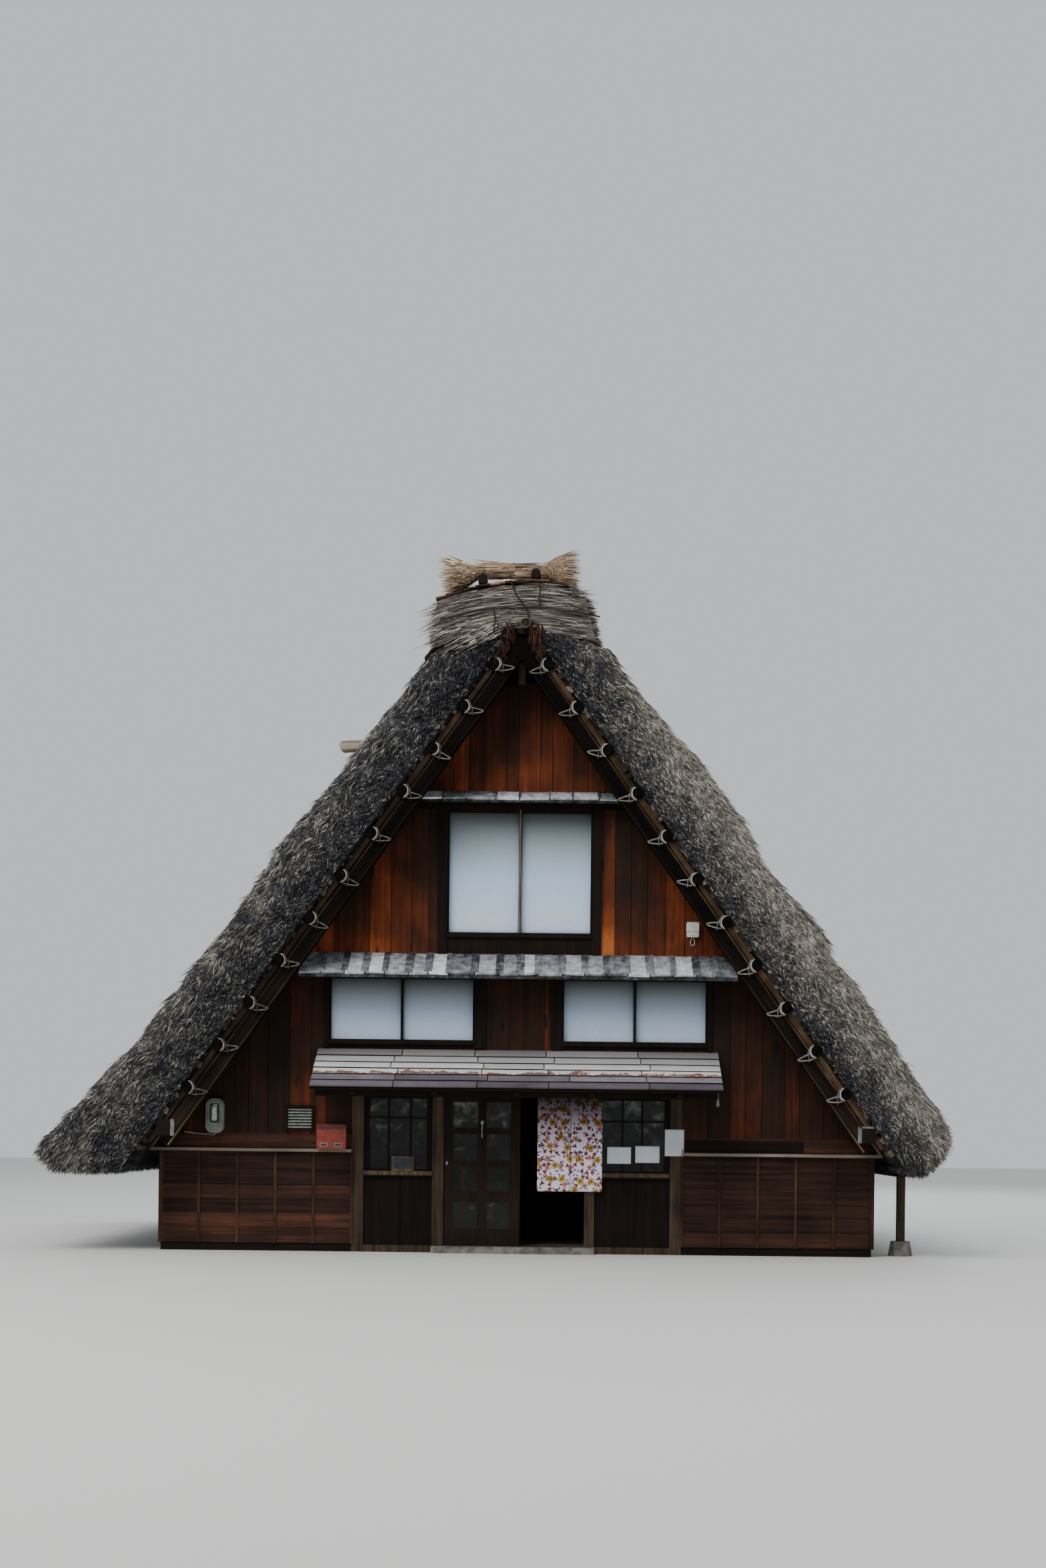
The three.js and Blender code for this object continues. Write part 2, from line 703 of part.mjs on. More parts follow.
for (const face of ['front', 'back']) {
  add(`${face}_gable_wall`, gableWall(face), 'boards');
  add(`${face}_second_window_left`, windowFrame(secondWindow, -1, face, secondTrim), 'timber');
  add(`${face}_second_window_right`, windowFrame(secondWindow, 1, face, secondTrim), 'timber');
  add(`${face}_attic_window`, windowFrame(atticWindow, 1, face, atticTrim), 'timber');
  add(`${face}_second_blinds`, blinds(secondWindow, face), 'blinds');
  add(`${face}_attic_blinds`, blinds(atticWindow, face), 'blinds');
}
add('back_wall', backWall(), 'darkBoards');
add('pent_roof_lower', boardRoof(pentRoofs.lower), 'grey');
add('pent_roof_upper', boardRoof(pentRoofs.upper), 'grey');
add('canopy_roof', boardRoof(canopy), 'canopy');
add('canopy_frame', canopyFrame(), 'timber');

for (const [name, side] of [['left', -1], ['right', 1]]) {
  add(`side_wall_${name}`, sideWall(side), 'darkBoards');
  add(`wall_plate_${name}`, wallPlateBeam(side), 'timber');
  add(`roof_frame_${name}`, roofFrame(side), 'log');
  add(`thatch_${name}`, thatch(name, side), 'thatch');
}
add('second_floor', upperFloor(secondFloor), 'timber');
add('attic_floor', upperFloor(atticFloor), 'timber');
add('ridge_pole', ridgePole(), 'log');
add('ridge_cover', ridgeCover(), 'ridge');
add('ridge_bundles', ridgeBundles(), 'straw');

add('eave_frame_right', eaveFrame(), 'timber');
eavePostPlaces().forEach((y, i) => add(`eave_stone_${i + 1}`, eaveStone(y), 'stone'));

add('electric_meter', roundedBox([-3966, -3739], faces.front(gap, 115), [1496, 1937], 90), 'meter');
add('wall_vent', wallVent([-2958, -2596], [1534, 1863]), 'grey');
const onLedge = ledgeHeight[1] + gap;
add('mailbox', roundedBox([-2546, -2175], faces.front(gap, 150), [onLedge, 1620], 25), 'mailbox');
add('white_box', roundedBox([2136, 2291], faces.front(gap, 80), [4065, 4251], 15), 'white');
add('sign_board', box([2140, 3660], faces.front(gap, 22), [onLedge, 1470]), 'timber');
add('noren_rod', norenRod(), 'timber');
add('noren', noren(), 'cloth');
add('canopy_lamp', canopyLamp(), 'white');

export default house;
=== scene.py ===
"""A thatched farmhouse with a steep gabled roof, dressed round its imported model.

Metres, X along the front, Y from the front gable to the back one, Z up, origin on the ground.
"""
import random
from math import cos, hypot, pi, radians, sin, tan

import bmesh
import bpy
import numpy as np
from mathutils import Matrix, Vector, noise


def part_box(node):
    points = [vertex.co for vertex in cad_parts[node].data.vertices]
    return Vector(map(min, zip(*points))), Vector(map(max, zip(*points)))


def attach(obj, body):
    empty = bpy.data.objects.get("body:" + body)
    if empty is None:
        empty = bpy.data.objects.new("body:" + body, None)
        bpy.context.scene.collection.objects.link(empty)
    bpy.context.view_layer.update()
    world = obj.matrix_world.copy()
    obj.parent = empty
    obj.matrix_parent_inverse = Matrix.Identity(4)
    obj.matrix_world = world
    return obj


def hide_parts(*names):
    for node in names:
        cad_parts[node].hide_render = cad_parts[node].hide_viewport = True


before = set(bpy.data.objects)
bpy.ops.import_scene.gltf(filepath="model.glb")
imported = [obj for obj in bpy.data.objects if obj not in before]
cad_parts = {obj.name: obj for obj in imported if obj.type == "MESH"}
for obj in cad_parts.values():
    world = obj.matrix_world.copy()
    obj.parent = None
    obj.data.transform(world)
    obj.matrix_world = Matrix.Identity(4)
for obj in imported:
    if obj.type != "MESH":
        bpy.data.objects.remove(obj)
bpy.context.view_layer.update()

# Places that the pieces share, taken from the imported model
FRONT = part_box("front_gable_wall")[0].y
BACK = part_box("back_gable_wall")[1].y
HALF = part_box("side_wall_right")[1].x
VERGE_FRONT, VERGE_BACK = (corner.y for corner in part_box("thatch_right"))

# Each slope's outside from the eave up to the ridge, as the part's source has it
PITCH = radians(54.7)
COS, SIN = cos(PITCH), sin(PITCH)
APEX = 7.98
THATCH_OUTSIDE = {
    "left": [
        (5.84, 1.05), (6.05, 1.25), (5.92, 1.465), (5.51, 1.885), (5.17, 2.30), (4.77, 2.73),
        (4.40, 3.18), (3.80, 4.00), (3.215, 4.84), (2.62, 5.67), (1.94, 6.50), (1.345, 7.33), (1.10, 7.64),
    ],
    "right": [
        (5.18, 1.09), (5.416, 1.32), (5.49, 1.54), (5.30, 1.875), (5.01, 2.295), (4.69, 2.795),
        (4.358, 3.263), (3.94, 3.815), (3.905, 3.97), (3.82, 4.21), (3.52, 4.50), (3.15, 4.89),
        (2.98, 5.103), (2.876, 5.392), (2.581, 5.836), (2.394, 6.074), (2.13, 6.36), (1.945, 6.50),
        (1.616, 6.935), (1.243, 7.408), (1.10, 7.64),
    ],
}
EAVE_INNER = {"left": 4.90, "right": 4.83}
RIDGE_SEAT = (0.091, 7.851)
SIDES = {"left": -1, "right": 1}
VERGES = {"front": (-1, VERGE_FRONT), "back": (1, VERGE_BACK)}
PURLIN_RADIUS = 0.075
PURLIN_COUNT, FIRST_PURLIN, PURLIN_SPACING = 11, 0.335, 0.65
BODY = "house"
RNG = random.Random(7)
# Sixteen angles of a ring
RING = np.linspace(0, 2 * pi, 17)[:-1]


def roof_height(x, depth=0.0):
    """The underside of the thatch at x, or a line that lies depth below it."""
    return APEX - depth / COS - tan(PITCH) * abs(x)


def roof_reach(z):
    """How far from the middle the underside of the thatch lies at one height."""
    return (APEX - z) / tan(PITCH)


def put_in_scene(name, data):
    """A new object at the origin."""
    made = bpy.data.objects.new(name, data)
    bpy.context.scene.collection.objects.link(made)
    return made


# Nodes, colours and materials
def linear(code):
    """An opaque sRGB hex colour as linear numbers."""
    parts = [int(code[i:i + 2], 16) / 255 for i in (1, 3, 5)]
    return [p / 12.92 if p <= 0.04045 else ((p + 0.055) / 1.055) ** 2.4 for p in parts] + [1.0]


def add(tree, kind, *values, out=0, stops=None, **settings):
    """Adds a node and gives back one of its outputs, or all where out is None.

    The kind is Blender's name for it, where ShaderNode may be left away. The values fill its inputs in
    order, or by name where they come as one dictionary. A value is plain, a hex colour or a node's output.
    """
    made = tree.nodes.new(kind if "Node" in kind else "ShaderNode" + kind)
    for name, value in settings.items():
        setattr(made, name, value)
    named = values[0] if values and isinstance(values[0], dict) else dict(enumerate(values))
    for key, value in named.items():
        if isinstance(value, bpy.types.NodeSocket):
            tree.links.new(value, made.inputs[key])
        elif isinstance(value, str) and value.startswith("#"):
            made.inputs[key].default_value = linear(value)
        else:
            made.inputs[key].default_value = value
    if stops:
        elements = made.color_ramp.elements
        while len(elements) < len(stops):
            elements.new(0.5)
        for element, (place, code) in zip(elements, stops):
            element.position = place
            element.color = linear(code)
    return made.outputs if out is None or not made.outputs else made.outputs[out]


def new_material(name):
    """An empty material with its tree and the piece's own coordinates."""
    material = bpy.data.materials.new(name)
    material.use_nodes = True
    tree = material.node_tree
    tree.nodes.clear()
    return material, tree, add(tree, "TexCoord", out="Object")


def finish_material(tree, color, roughness, height=None, bump=0.3, reach=0.01, **sockets):
    """Ends a tree in a Principled shader, with a bump where a height is given."""
    inputs = {"Base Color": color, "Roughness": roughness}
    inputs.update({key.replace("_", " "): value for key, value in sockets.items()})
    if height is not None:
        relief = {"Strength": bump, "Distance": reach, "Height": height}
        inputs["Normal"] = add(tree, "Bump", relief)
    shader = add(tree, "BsdfPrincipled", inputs)
    add(tree, "OutputMaterial", shader)


def tinted(tree, color, shade):
    """One colour multiplied by another."""
    return add(tree, "Mix", {0: 1.0, 6: color, 7: shade}, out=2, data_type="RGBA", blend_type="MULTIPLY")


def stretched_noise(tree, place, scale, **settings):
    """Noise whose size along each axis is one divided by its scale."""
    run = add(tree, "Mapping", {"Vector": place, "Scale": scale})
    return add(tree, "TexNoise", {"Vector": run, "Scale": 1.0, **settings})


def along_slope(tree, place):
    """Coordinates that run down either slope of the roof."""
    parts = add(tree, "SeparateXYZ", place, out=None)
    sideways = add(tree, "Math", parts[0], operation="ABSOLUTE")
    rise = add(tree, "Math", parts[2], COS, operation="MULTIPLY")
    off = add(tree, "Math", sideways, SIN, rise, operation="MULTIPLY_ADD")
    fall = add(tree, "Math", parts[2], -SIN, operation="MULTIPLY")
    down = add(tree, "Math", sideways, COS, fall, operation="MULTIPLY_ADD")
    return add(tree, "CombineXYZ", down, parts[1], off)


def drift(tree, place, axis, start, end, first, last):
    """A level that goes from first to last between two places along an axis."""
    along = add(tree, "SeparateXYZ", place, out=axis)
    return add(tree, "MapRange", along, start, end, first, last)


# Wood. The fine grain is 12 mm across and 0.5 m long, coarser than the real 3 mm so that it shows from
# the camera, and the broad streaks are 60 mm by 1.2 m. Knots are 200 mm apart across the grain.
FINE_GRAIN, BROAD_GRAIN = (80.0, 2.0), (17.0, 0.8)
KNOT_SPACING = (5.0, 5.0, 1.3)


def wood(name, stops, grain="z", bump=0.35, level=-0.1, weights=(0.12, 0.26, 0.2, 0.24, 0.45),
         patch_size=1.4, knots=0.0, sheen=0.12):
    """Boards or timber, whose grain runs along x, y or z, or down the slopes of the roof.

    The weights are for fine grain, broad streaks, patches, each board's tone and its fade, which lays
    sun-fading and painted light and shade together. The level is a number, or what drift() takes.
    """
    material, tree, place = new_material(name)
    tone = add(tree, "Attribute", attribute_name="tone", out="Fac")
    fade = add(tree, "Attribute", attribute_name="fade", out="Fac")
    laid = along_slope(tree, place) if grain == "slope" else place
    own = add(tree, "VectorMath", {0: (13.0, 7.0, 5.0), "Scale": tone}, operation="SCALE")
    laid = add(tree, "VectorMath", laid, own, operation="ADD")

    def streaks(size, detail):
        """Noise drawn out along the grain, from 0 to 1."""
        across, along = size
        axis = "x" if grain == "slope" else grain
        scale = [along if letter == axis else across for letter in "xyz"]
        noisy = stretched_noise(tree, laid, scale, Detail=detail, Roughness=0.6)
        return add(tree, "MapRange", noisy, 0.3, 0.7)

    fine, broad = streaks(FINE_GRAIN, 5.0), streaks(BROAD_GRAIN, 3.0)
    patch = add(tree, "TexNoise", {"Vector": place, "Scale": patch_size, "Detail": 4.0})
    patch = add(tree, "MapRange", patch, 0.3, 0.7)
    total = drift(tree, place, *level) if isinstance(level, tuple) else level
    for part, weight in zip((fine, broad, patch, tone, fade), weights):
        total = add(tree, "Math", part, weight, total, operation="MULTIPLY_ADD")
    if knots:
        run = add(tree, "Mapping", {"Vector": laid, "Scale": KNOT_SPACING})
        away = add(tree, "TexVoronoi", {"Vector": run, "Scale": 1.0}, out="Distance")
        dark = add(tree, "MapRange", away, 0.05, 0.16, knots, 0.0)
        total = add(tree, "Math", total, dark, operation="SUBTRACT")
    color = add(tree, "ValToRGB", total, stops=stops)
    height = add(tree, "Math", fine, 0.5, broad, operation="MULTIPLY_ADD")
    finish_material(tree, color, 0.8, height, bump=bump, reach=0.006, Specular_IOR_Level=sheen)
    return material


# Thatch. Reed ends are 8 mm across, and are drawn 20 mm across to show from the camera. Reeds lean
# together in tufts of 70 mm, and a strand is 10 mm by 60 mm.
REED_END = 0.02
TUFT = 0.07
STRANDS = (16.0, 90.0, 90.0)
# Darker towards the rafters, up to this depth from them, and painted shade of the ridge cover on the reed
# between two heights
DARKENING_DEPTH = 0.52
COVER_SHADE_HEIGHTS = (6.3, 7.5)
# Painted light: the roof grows paler towards the lit right, between two places on X
LIT_SPAN = (-1.5, 2.0)
# Reeds show their own tones at the verges, and calmer ones between them
VERGE_BAND = (-VERGE_FRONT - 0.4, -VERGE_FRONT - 0.05)
CALM_TONE = 0.3


def thatch_finish():
    """Miscanthus reed, cut at the verges and weathered on the slopes.

    Blue-grey and darker towards the rafters, dry grey-beige outside, paler towards the right as painted light
    and darker under the ridge cover as painted shade, in tufts of reeds that each have their own tone.
    """
    material, tree, place = new_material("weathered_reed_thatch")
    parts = add(tree, "SeparateXYZ", place, out=None)
    sideways = add(tree, "Math", parts[0], operation="ABSOLUTE")
    sideways = add(tree, "Math", sideways, SIN, operation="MULTIPLY")
    fallen = add(tree, "Math", parts[2], APEX, operation="SUBTRACT")
    depth = add(tree, "Math", fallen, COS, sideways, operation="MULTIPLY_ADD")
    depth = add(tree, "Math", depth, DARKENING_DEPTH, operation="MINIMUM")
    cloud = add(tree, "TexNoise", {"Vector": place, "Scale": 3.0, "Detail": 5.0})
    cloud = add(tree, "MapRange", cloud, 0.34, 0.66)
    tufts = add(tree, "TexNoise", {"Vector": place, "Scale": 1 / TUFT, "Detail": 4.0, "Roughness": 0.7})
    tufts = add(tree, "MapRange", tufts, 0.36, 0.64)
    tone = add(tree, "Attribute", attribute_name="tone", out="Fac")
    tone = add(tree, "Math", tone, 2.2, operation="POWER")
    from_middle = add(tree, "Math", parts[1], operation="ABSOLUTE")
    kept = add(tree, "MapRange", from_middle, *VERGE_BAND, 0.5, 1.0)
    tone = add(tree, "Math", tone, CALM_TONE, operation="SUBTRACT")
    tone = add(tree, "Math", tone, kept, CALM_TONE, operation="MULTIPLY_ADD")
    warp = add(tree, "TexNoise", {"Vector": place, "Scale": 0.6 / TUFT, "Detail": 1.0}, out="Color")
    warp = add(tree, "VectorMath", {0: warp, "Scale": 0.16}, operation="SCALE")
    laid = add(tree, "VectorMath", along_slope(tree, place), warp, operation="ADD")
    strands = stretched_noise(tree, laid, STRANDS, Detail=3.0)
    strands = add(tree, "MapRange", strands, 0.38, 0.62)
    # Painted light: towards the right the reed grows paler from the rafters outwards, and more steeply
    lit_side = add(tree, "MapRange", parts[0], *LIT_SPAN, 0.4, 0.85)
    slope = add(tree, "MapRange", from_middle, *VERGE_BAND, 0.68, 0.4)
    lit_side = add(tree, "Math", lit_side, slope, operation="MAXIMUM")
    level = add(tree, "MapRange", parts[0], *LIT_SPAN, -0.33, -0.275)
    # Painted shade under the ridge cover
    cover_shade = add(tree, "MapRange", parts[2], *COVER_SHADE_HEIGHTS, 0.0, -0.13)
    level = add(tree, "Math", level, cover_shade, operation="ADD")
    level = add(tree, "Math", depth, lit_side, level, operation="MULTIPLY_ADD")
    cells = add(tree, "TexVoronoi", {"Vector": place, "Scale": 1 / REED_END}, out="Color")
    ends = add(tree, "MapRange", add(tree, "SeparateColor", cells), 0.7, 1.0)
    for part, weight in ((cloud, 0.19), (tufts, 0.28), (strands, 0.28), (tone, 0.7), (ends, 0.14)):
        level = add(tree, "Math", part, weight, level, operation="MULTIPLY_ADD")
    color = add(tree, "ValToRGB", level, stops=[
        (0, "#17191e"), (0.25, "#36383f"), (0.5, "#5f5b55"), (0.75, "#978f84"), (1, "#dad2c5")])
    finish_material(tree, color, 0.92, strands, bump=0.7, reach=0.012, Specular_IOR_Level=0.15)
    return material


# Stalks and board fibres along X are 5 to 8 mm wide, and are drawn 17 mm wide and 0.5 m long.
# A rope's strands are 10 mm, and its lumps 33 mm.
STALKS = (2.0, 60.0, 60.0)
ROPE_LUMPS = (30.0, 30.0, 30.0)


def make_reed(name, stops, along=STALKS, level=("X", -3.0, 3.0, -0.2, -0.2)):
    """Loose reed, straw or rope, each stalk in its own tone. The level is what drift() takes."""
    material, tree, place = new_material(name)
    streaks = stretched_noise(tree, place, along, Detail=5.0)
    tone = add(tree, "Attribute", attribute_name="tone", out="Fac")
    level = add(tree, "Math", streaks, 0.8, drift(tree, place, *level), operation="MULTIPLY_ADD")
    level = add(tree, "Math", tone, 0.8, level, operation="MULTIPLY_ADD", use_clamp=True)
    color = add(tree, "ValToRGB", level, stops=stops)
    finish_material(tree, color, 0.9, streaks, bump=0.7, reach=0.01, Specular_IOR_Level=0.2)
    return material


# Heights where the canopy meets the wall and where its paint starts, and how ragged that edge is
CANOPY_WALL, CANOPY_PEEL, CANOPY_RAGGED = 2.593, 2.30, 0.3


def make_canopy_wood():
    """Sawn roof boards, painted long ago.

    Bare silver grey with the grain open above, a ragged edge of rusty primer and pale flakes, and dull
    violet-brown paint below it.
    """
    material, tree, place = new_material("worn_painted_roof_boards")
    streaks = stretched_noise(tree, place, STALKS, Detail=5.0)
    worn = add(tree, "TexNoise", {"Vector": place, "Scale": 3.5, "Detail": 5.0})
    tone = add(tree, "Attribute", attribute_name="tone", out="Fac")
    level = add(tree, "Math", worn, 0.5, -0.45, operation="MULTIPLY_ADD")
    level = add(tree, "Math", streaks, 0.4, level, operation="MULTIPLY_ADD")
    level = add(tree, "Math", level, tone, operation="ADD", use_clamp=True)
    height = add(tree, "SeparateXYZ", place, out=2)
    ragged = add(tree, "TexNoise", {"Vector": place, "Scale": 5.0, "Detail": 8.0, "Roughness": 0.7})
    lowest = CANOPY_PEEL - CANOPY_RAGGED / 2
    edge = add(tree, "Math", ragged, CANOPY_RAGGED, lowest, operation="MULTIPLY_ADD")
    above = add(tree, "Math", height, edge, operation="SUBTRACT")
    bare = add(tree, "MapRange", height, CANOPY_WALL, CANOPY_PEEL, 0.08, 0.68)
    bare = add(tree, "Math", level, 0.4, bare, operation="MULTIPLY_ADD", use_clamp=True)
    weathered = add(tree, "ValToRGB", bare, stops=[
        (0, "#5b5656"), (0.35, "#888384"), (0.7, "#adabab"), (1, "#e0dedb")])
    color = add(tree, "ValToRGB", level, stops=[(0, "#403940"), (0.5, "#706870"), (1, "#a49ca6")])
    layers = ((-0.035, 0.006, "#7d594a"), (-0.004, 0.004, "#d9cfc0"), (0.018, 0.006, weathered))
    for start, length, tint in layers:
        share = add(tree, "MapRange", above, start, start + length)
        color = add(tree, "Mix", {0: share, 6: color, 7: tint}, out=2, data_type="RGBA")
    finish_material(tree, color, 0.8, streaks, bump=0.5, reach=0.006, Specular_IOR_Level=0.3)
    return material


def make_plain(name, code, second, scale, roughness, bump=0.2, reach=0.004, **sockets):
    """A finish with two close colours in clouds of 1 / scale metres, and a bump of the same size."""
    material, tree, place = new_material(name)
    cloud = add(tree, "TexNoise", {"Vector": place, "Scale": scale, "Detail": 5.0})
    spread = add(tree, "MapRange", cloud, 0.35, 0.65)
    color = add(tree, "Mix", {0: spread, 6: code, 7: second}, out=2, data_type="RGBA")
    finish_material(tree, color, roughness, cloud, bump=bump, reach=reach, **sockets)
    return material


# The blinds' yarns are 1 mm thick, and are drawn 11 mm by 5 mm. Their painted shade falls between two heights
# in each storey.
WEAVE = (90.0, 90.0, 220.0)
BLIND_SHADE = ((2.72, 3.50), (4.10, 5.64))
BETWEEN_STOREYS = 3.8


def make_blind_cloth():
    """Woven white polyester: flat and even, grey-green in painted shade under the lintel and sky blue lower
    down.
    """
    material, tree, place = new_material("woven_white_blinds")
    height = add(tree, "SeparateXYZ", place, out=2)
    storeys = []
    for low, high in BLIND_SHADE:
        share = add(tree, "MapRange", height, low, high)
        storeys.append(add(tree, "ValToRGB", share, stops=[
            (0, "#dfefff"), (0.45, "#cbdff5"), (0.78, "#959fa4"), (1, "#4c524e")]))
    upper = add(tree, "Math", height, BETWEEN_STOREYS, operation="GREATER_THAN")
    color = add(tree, "Mix", {0: upper, 6: storeys[0], 7: storeys[1]}, out=2, data_type="RGBA")
    weave = stretched_noise(tree, place, WEAVE, Detail=2.0)
    shade = add(tree, "ValToRGB", weave, stops=[(0.3, "#d2d5d8"), (0.7, "#ffffff")])
    finish_material(tree, tinted(tree, color, shade), 0.85, weave, bump=0.12, reach=0.002,
                    Specular_IOR_Level=0.2)
    return material


# The curtain's print: for each layer its cells a metre, blossom size, petals, two colours and share kept
PRINT = [
    (17.0, 0.34, 2.0, "#6a6288", "#9a8fae", 0.7),
    (12.5, 0.36, 3.0, "#8f2531", "#4f3a44", 0.62),
    (8.2, 0.36, 5.0, "#c48f74", "#b0707c", 0.5),
    (5.4, 0.3, 7.0, "#9c7c2c", "#b8963f", 0.85),
]
# Shares of a blossom's size: the gaps between its petals, and its heart
PETAL_DEPTH, HEART = 0.24, 0.3
# The canopy's shadow is painted on the curtain between two heights. Threads are 0.4 mm thick, and are drawn 3
# mm thick.
CURTAIN_SHADE, THREADS = (1.3, 2.05), 300.0


def make_noren_print():
    """Printed cotton: pale pink, with a plain scatter of round blossoms, buds and leaves in four layers."""
    material, tree, place = new_material("flowered_cotton")
    parts = add(tree, "SeparateXYZ", place, out=None)
    flat = add(tree, "CombineXYZ", parts[0], parts[2])
    color = linear("#e6dcea")
    for scale, size, petals, first, second, share in PRINT:
        grid = {"Vector": flat, "Scale": scale, "Randomness": 0.7}
        cells = add(tree, "TexVoronoi", grid, out=None, voronoi_dimensions="2D")
        offset = add(tree, "VectorMath", flat, cells["Position"], operation="SUBTRACT")
        away = add(tree, "SeparateXYZ", offset, out=None)
        angle = add(tree, "Math", away[1], away[0], operation="ARCTAN2")
        chance = add(tree, "SeparateColor", cells["Color"], out=None)
        turned = add(tree, "Math", chance[0], 2 * pi, operation="MULTIPLY")
        angle = add(tree, "Math", angle, petals, turned, operation="MULTIPLY_ADD")
        waves = add(tree, "Math", angle, operation="COSINE")
        reach = add(tree, "Math", waves, PETAL_DEPTH * size, (1 - PETAL_DEPTH) * size,
                    operation="MULTIPLY_ADD")
        inside = add(tree, "Math", cells["Distance"], reach, operation="LESS_THAN")
        kept = add(tree, "Math", chance[1], share, operation="LESS_THAN")
        drawn = add(tree, "Math", inside, kept, operation="MULTIPLY")
        petal = add(tree, "Mix", {0: chance[2], 6: first, 7: second}, out=2, data_type="RGBA")
        heart = add(tree, "Math", cells["Distance"], HEART * size, operation="LESS_THAN")
        heart = add(tree, "Math", heart, 0.8, operation="MULTIPLY")
        petal = add(tree, "Mix", {0: heart, 6: petal, 7: "#6d4a2c"}, out=2, data_type="RGBA")
        color = add(tree, "Mix", {0: drawn, 6: color, 7: petal}, out=2, data_type="RGBA")
    # Painted shadow of the canopy over the curtain's top
    shade = add(tree, "MapRange", parts[2], *CURTAIN_SHADE)
    shade = add(tree, "ValToRGB", shade, stops=[
        (0, "#ffffff"), (0.35, "#d2cfcf"), (0.7, "#847c79"), (0.92, "#4d4542")])
    color = tinted(tree, color, shade)
    threads = add(tree, "TexNoise", {"Vector": place, "Scale": THREADS})
    finish_material(tree, color, 0.9, threads, bump=0.1, reach=0.002, Specular_IOR_Level=0.15)
    return material


def make_glass():
    """Drawn window glass, old and dusty.

    It waves every 330 mm. Its near-black ground is painted shade of the room behind, and its film of dust
    shows as pale patches 140 mm across over it, paler towards the top.
    """
    material, tree, place = new_material("old_window_glass")
    wave = add(tree, "TexNoise", {"Vector": place, "Scale": 3.0})
    patch = add(tree, "TexNoise", {"Vector": place, "Scale": 7.0, "Detail": 2.0, "Distortion": 0.7})
    paler_upwards = drift(tree, place, "Z", 1.3, 1.95, -0.06, 0.12)
    patch = add(tree, "Math", patch, paler_upwards, operation="ADD")
    # The dark end of the ramp paints the shade of the room behind the glass
    dust_over_shade = add(tree, "ValToRGB", patch, stops=[
        (0, "#0b0a08"), (0.5, "#1d1c18"), (0.6, "#2f302a"), (0.7, "#5d645b"), (1, "#a9b2aa")])
    finish_material(tree, dust_over_shade, 0.06, wave, bump=0.2, reach=0.01, Transmission_Weight=0.5, IOR=1.45,
                    Specular_IOR_Level=0.06)
    return material


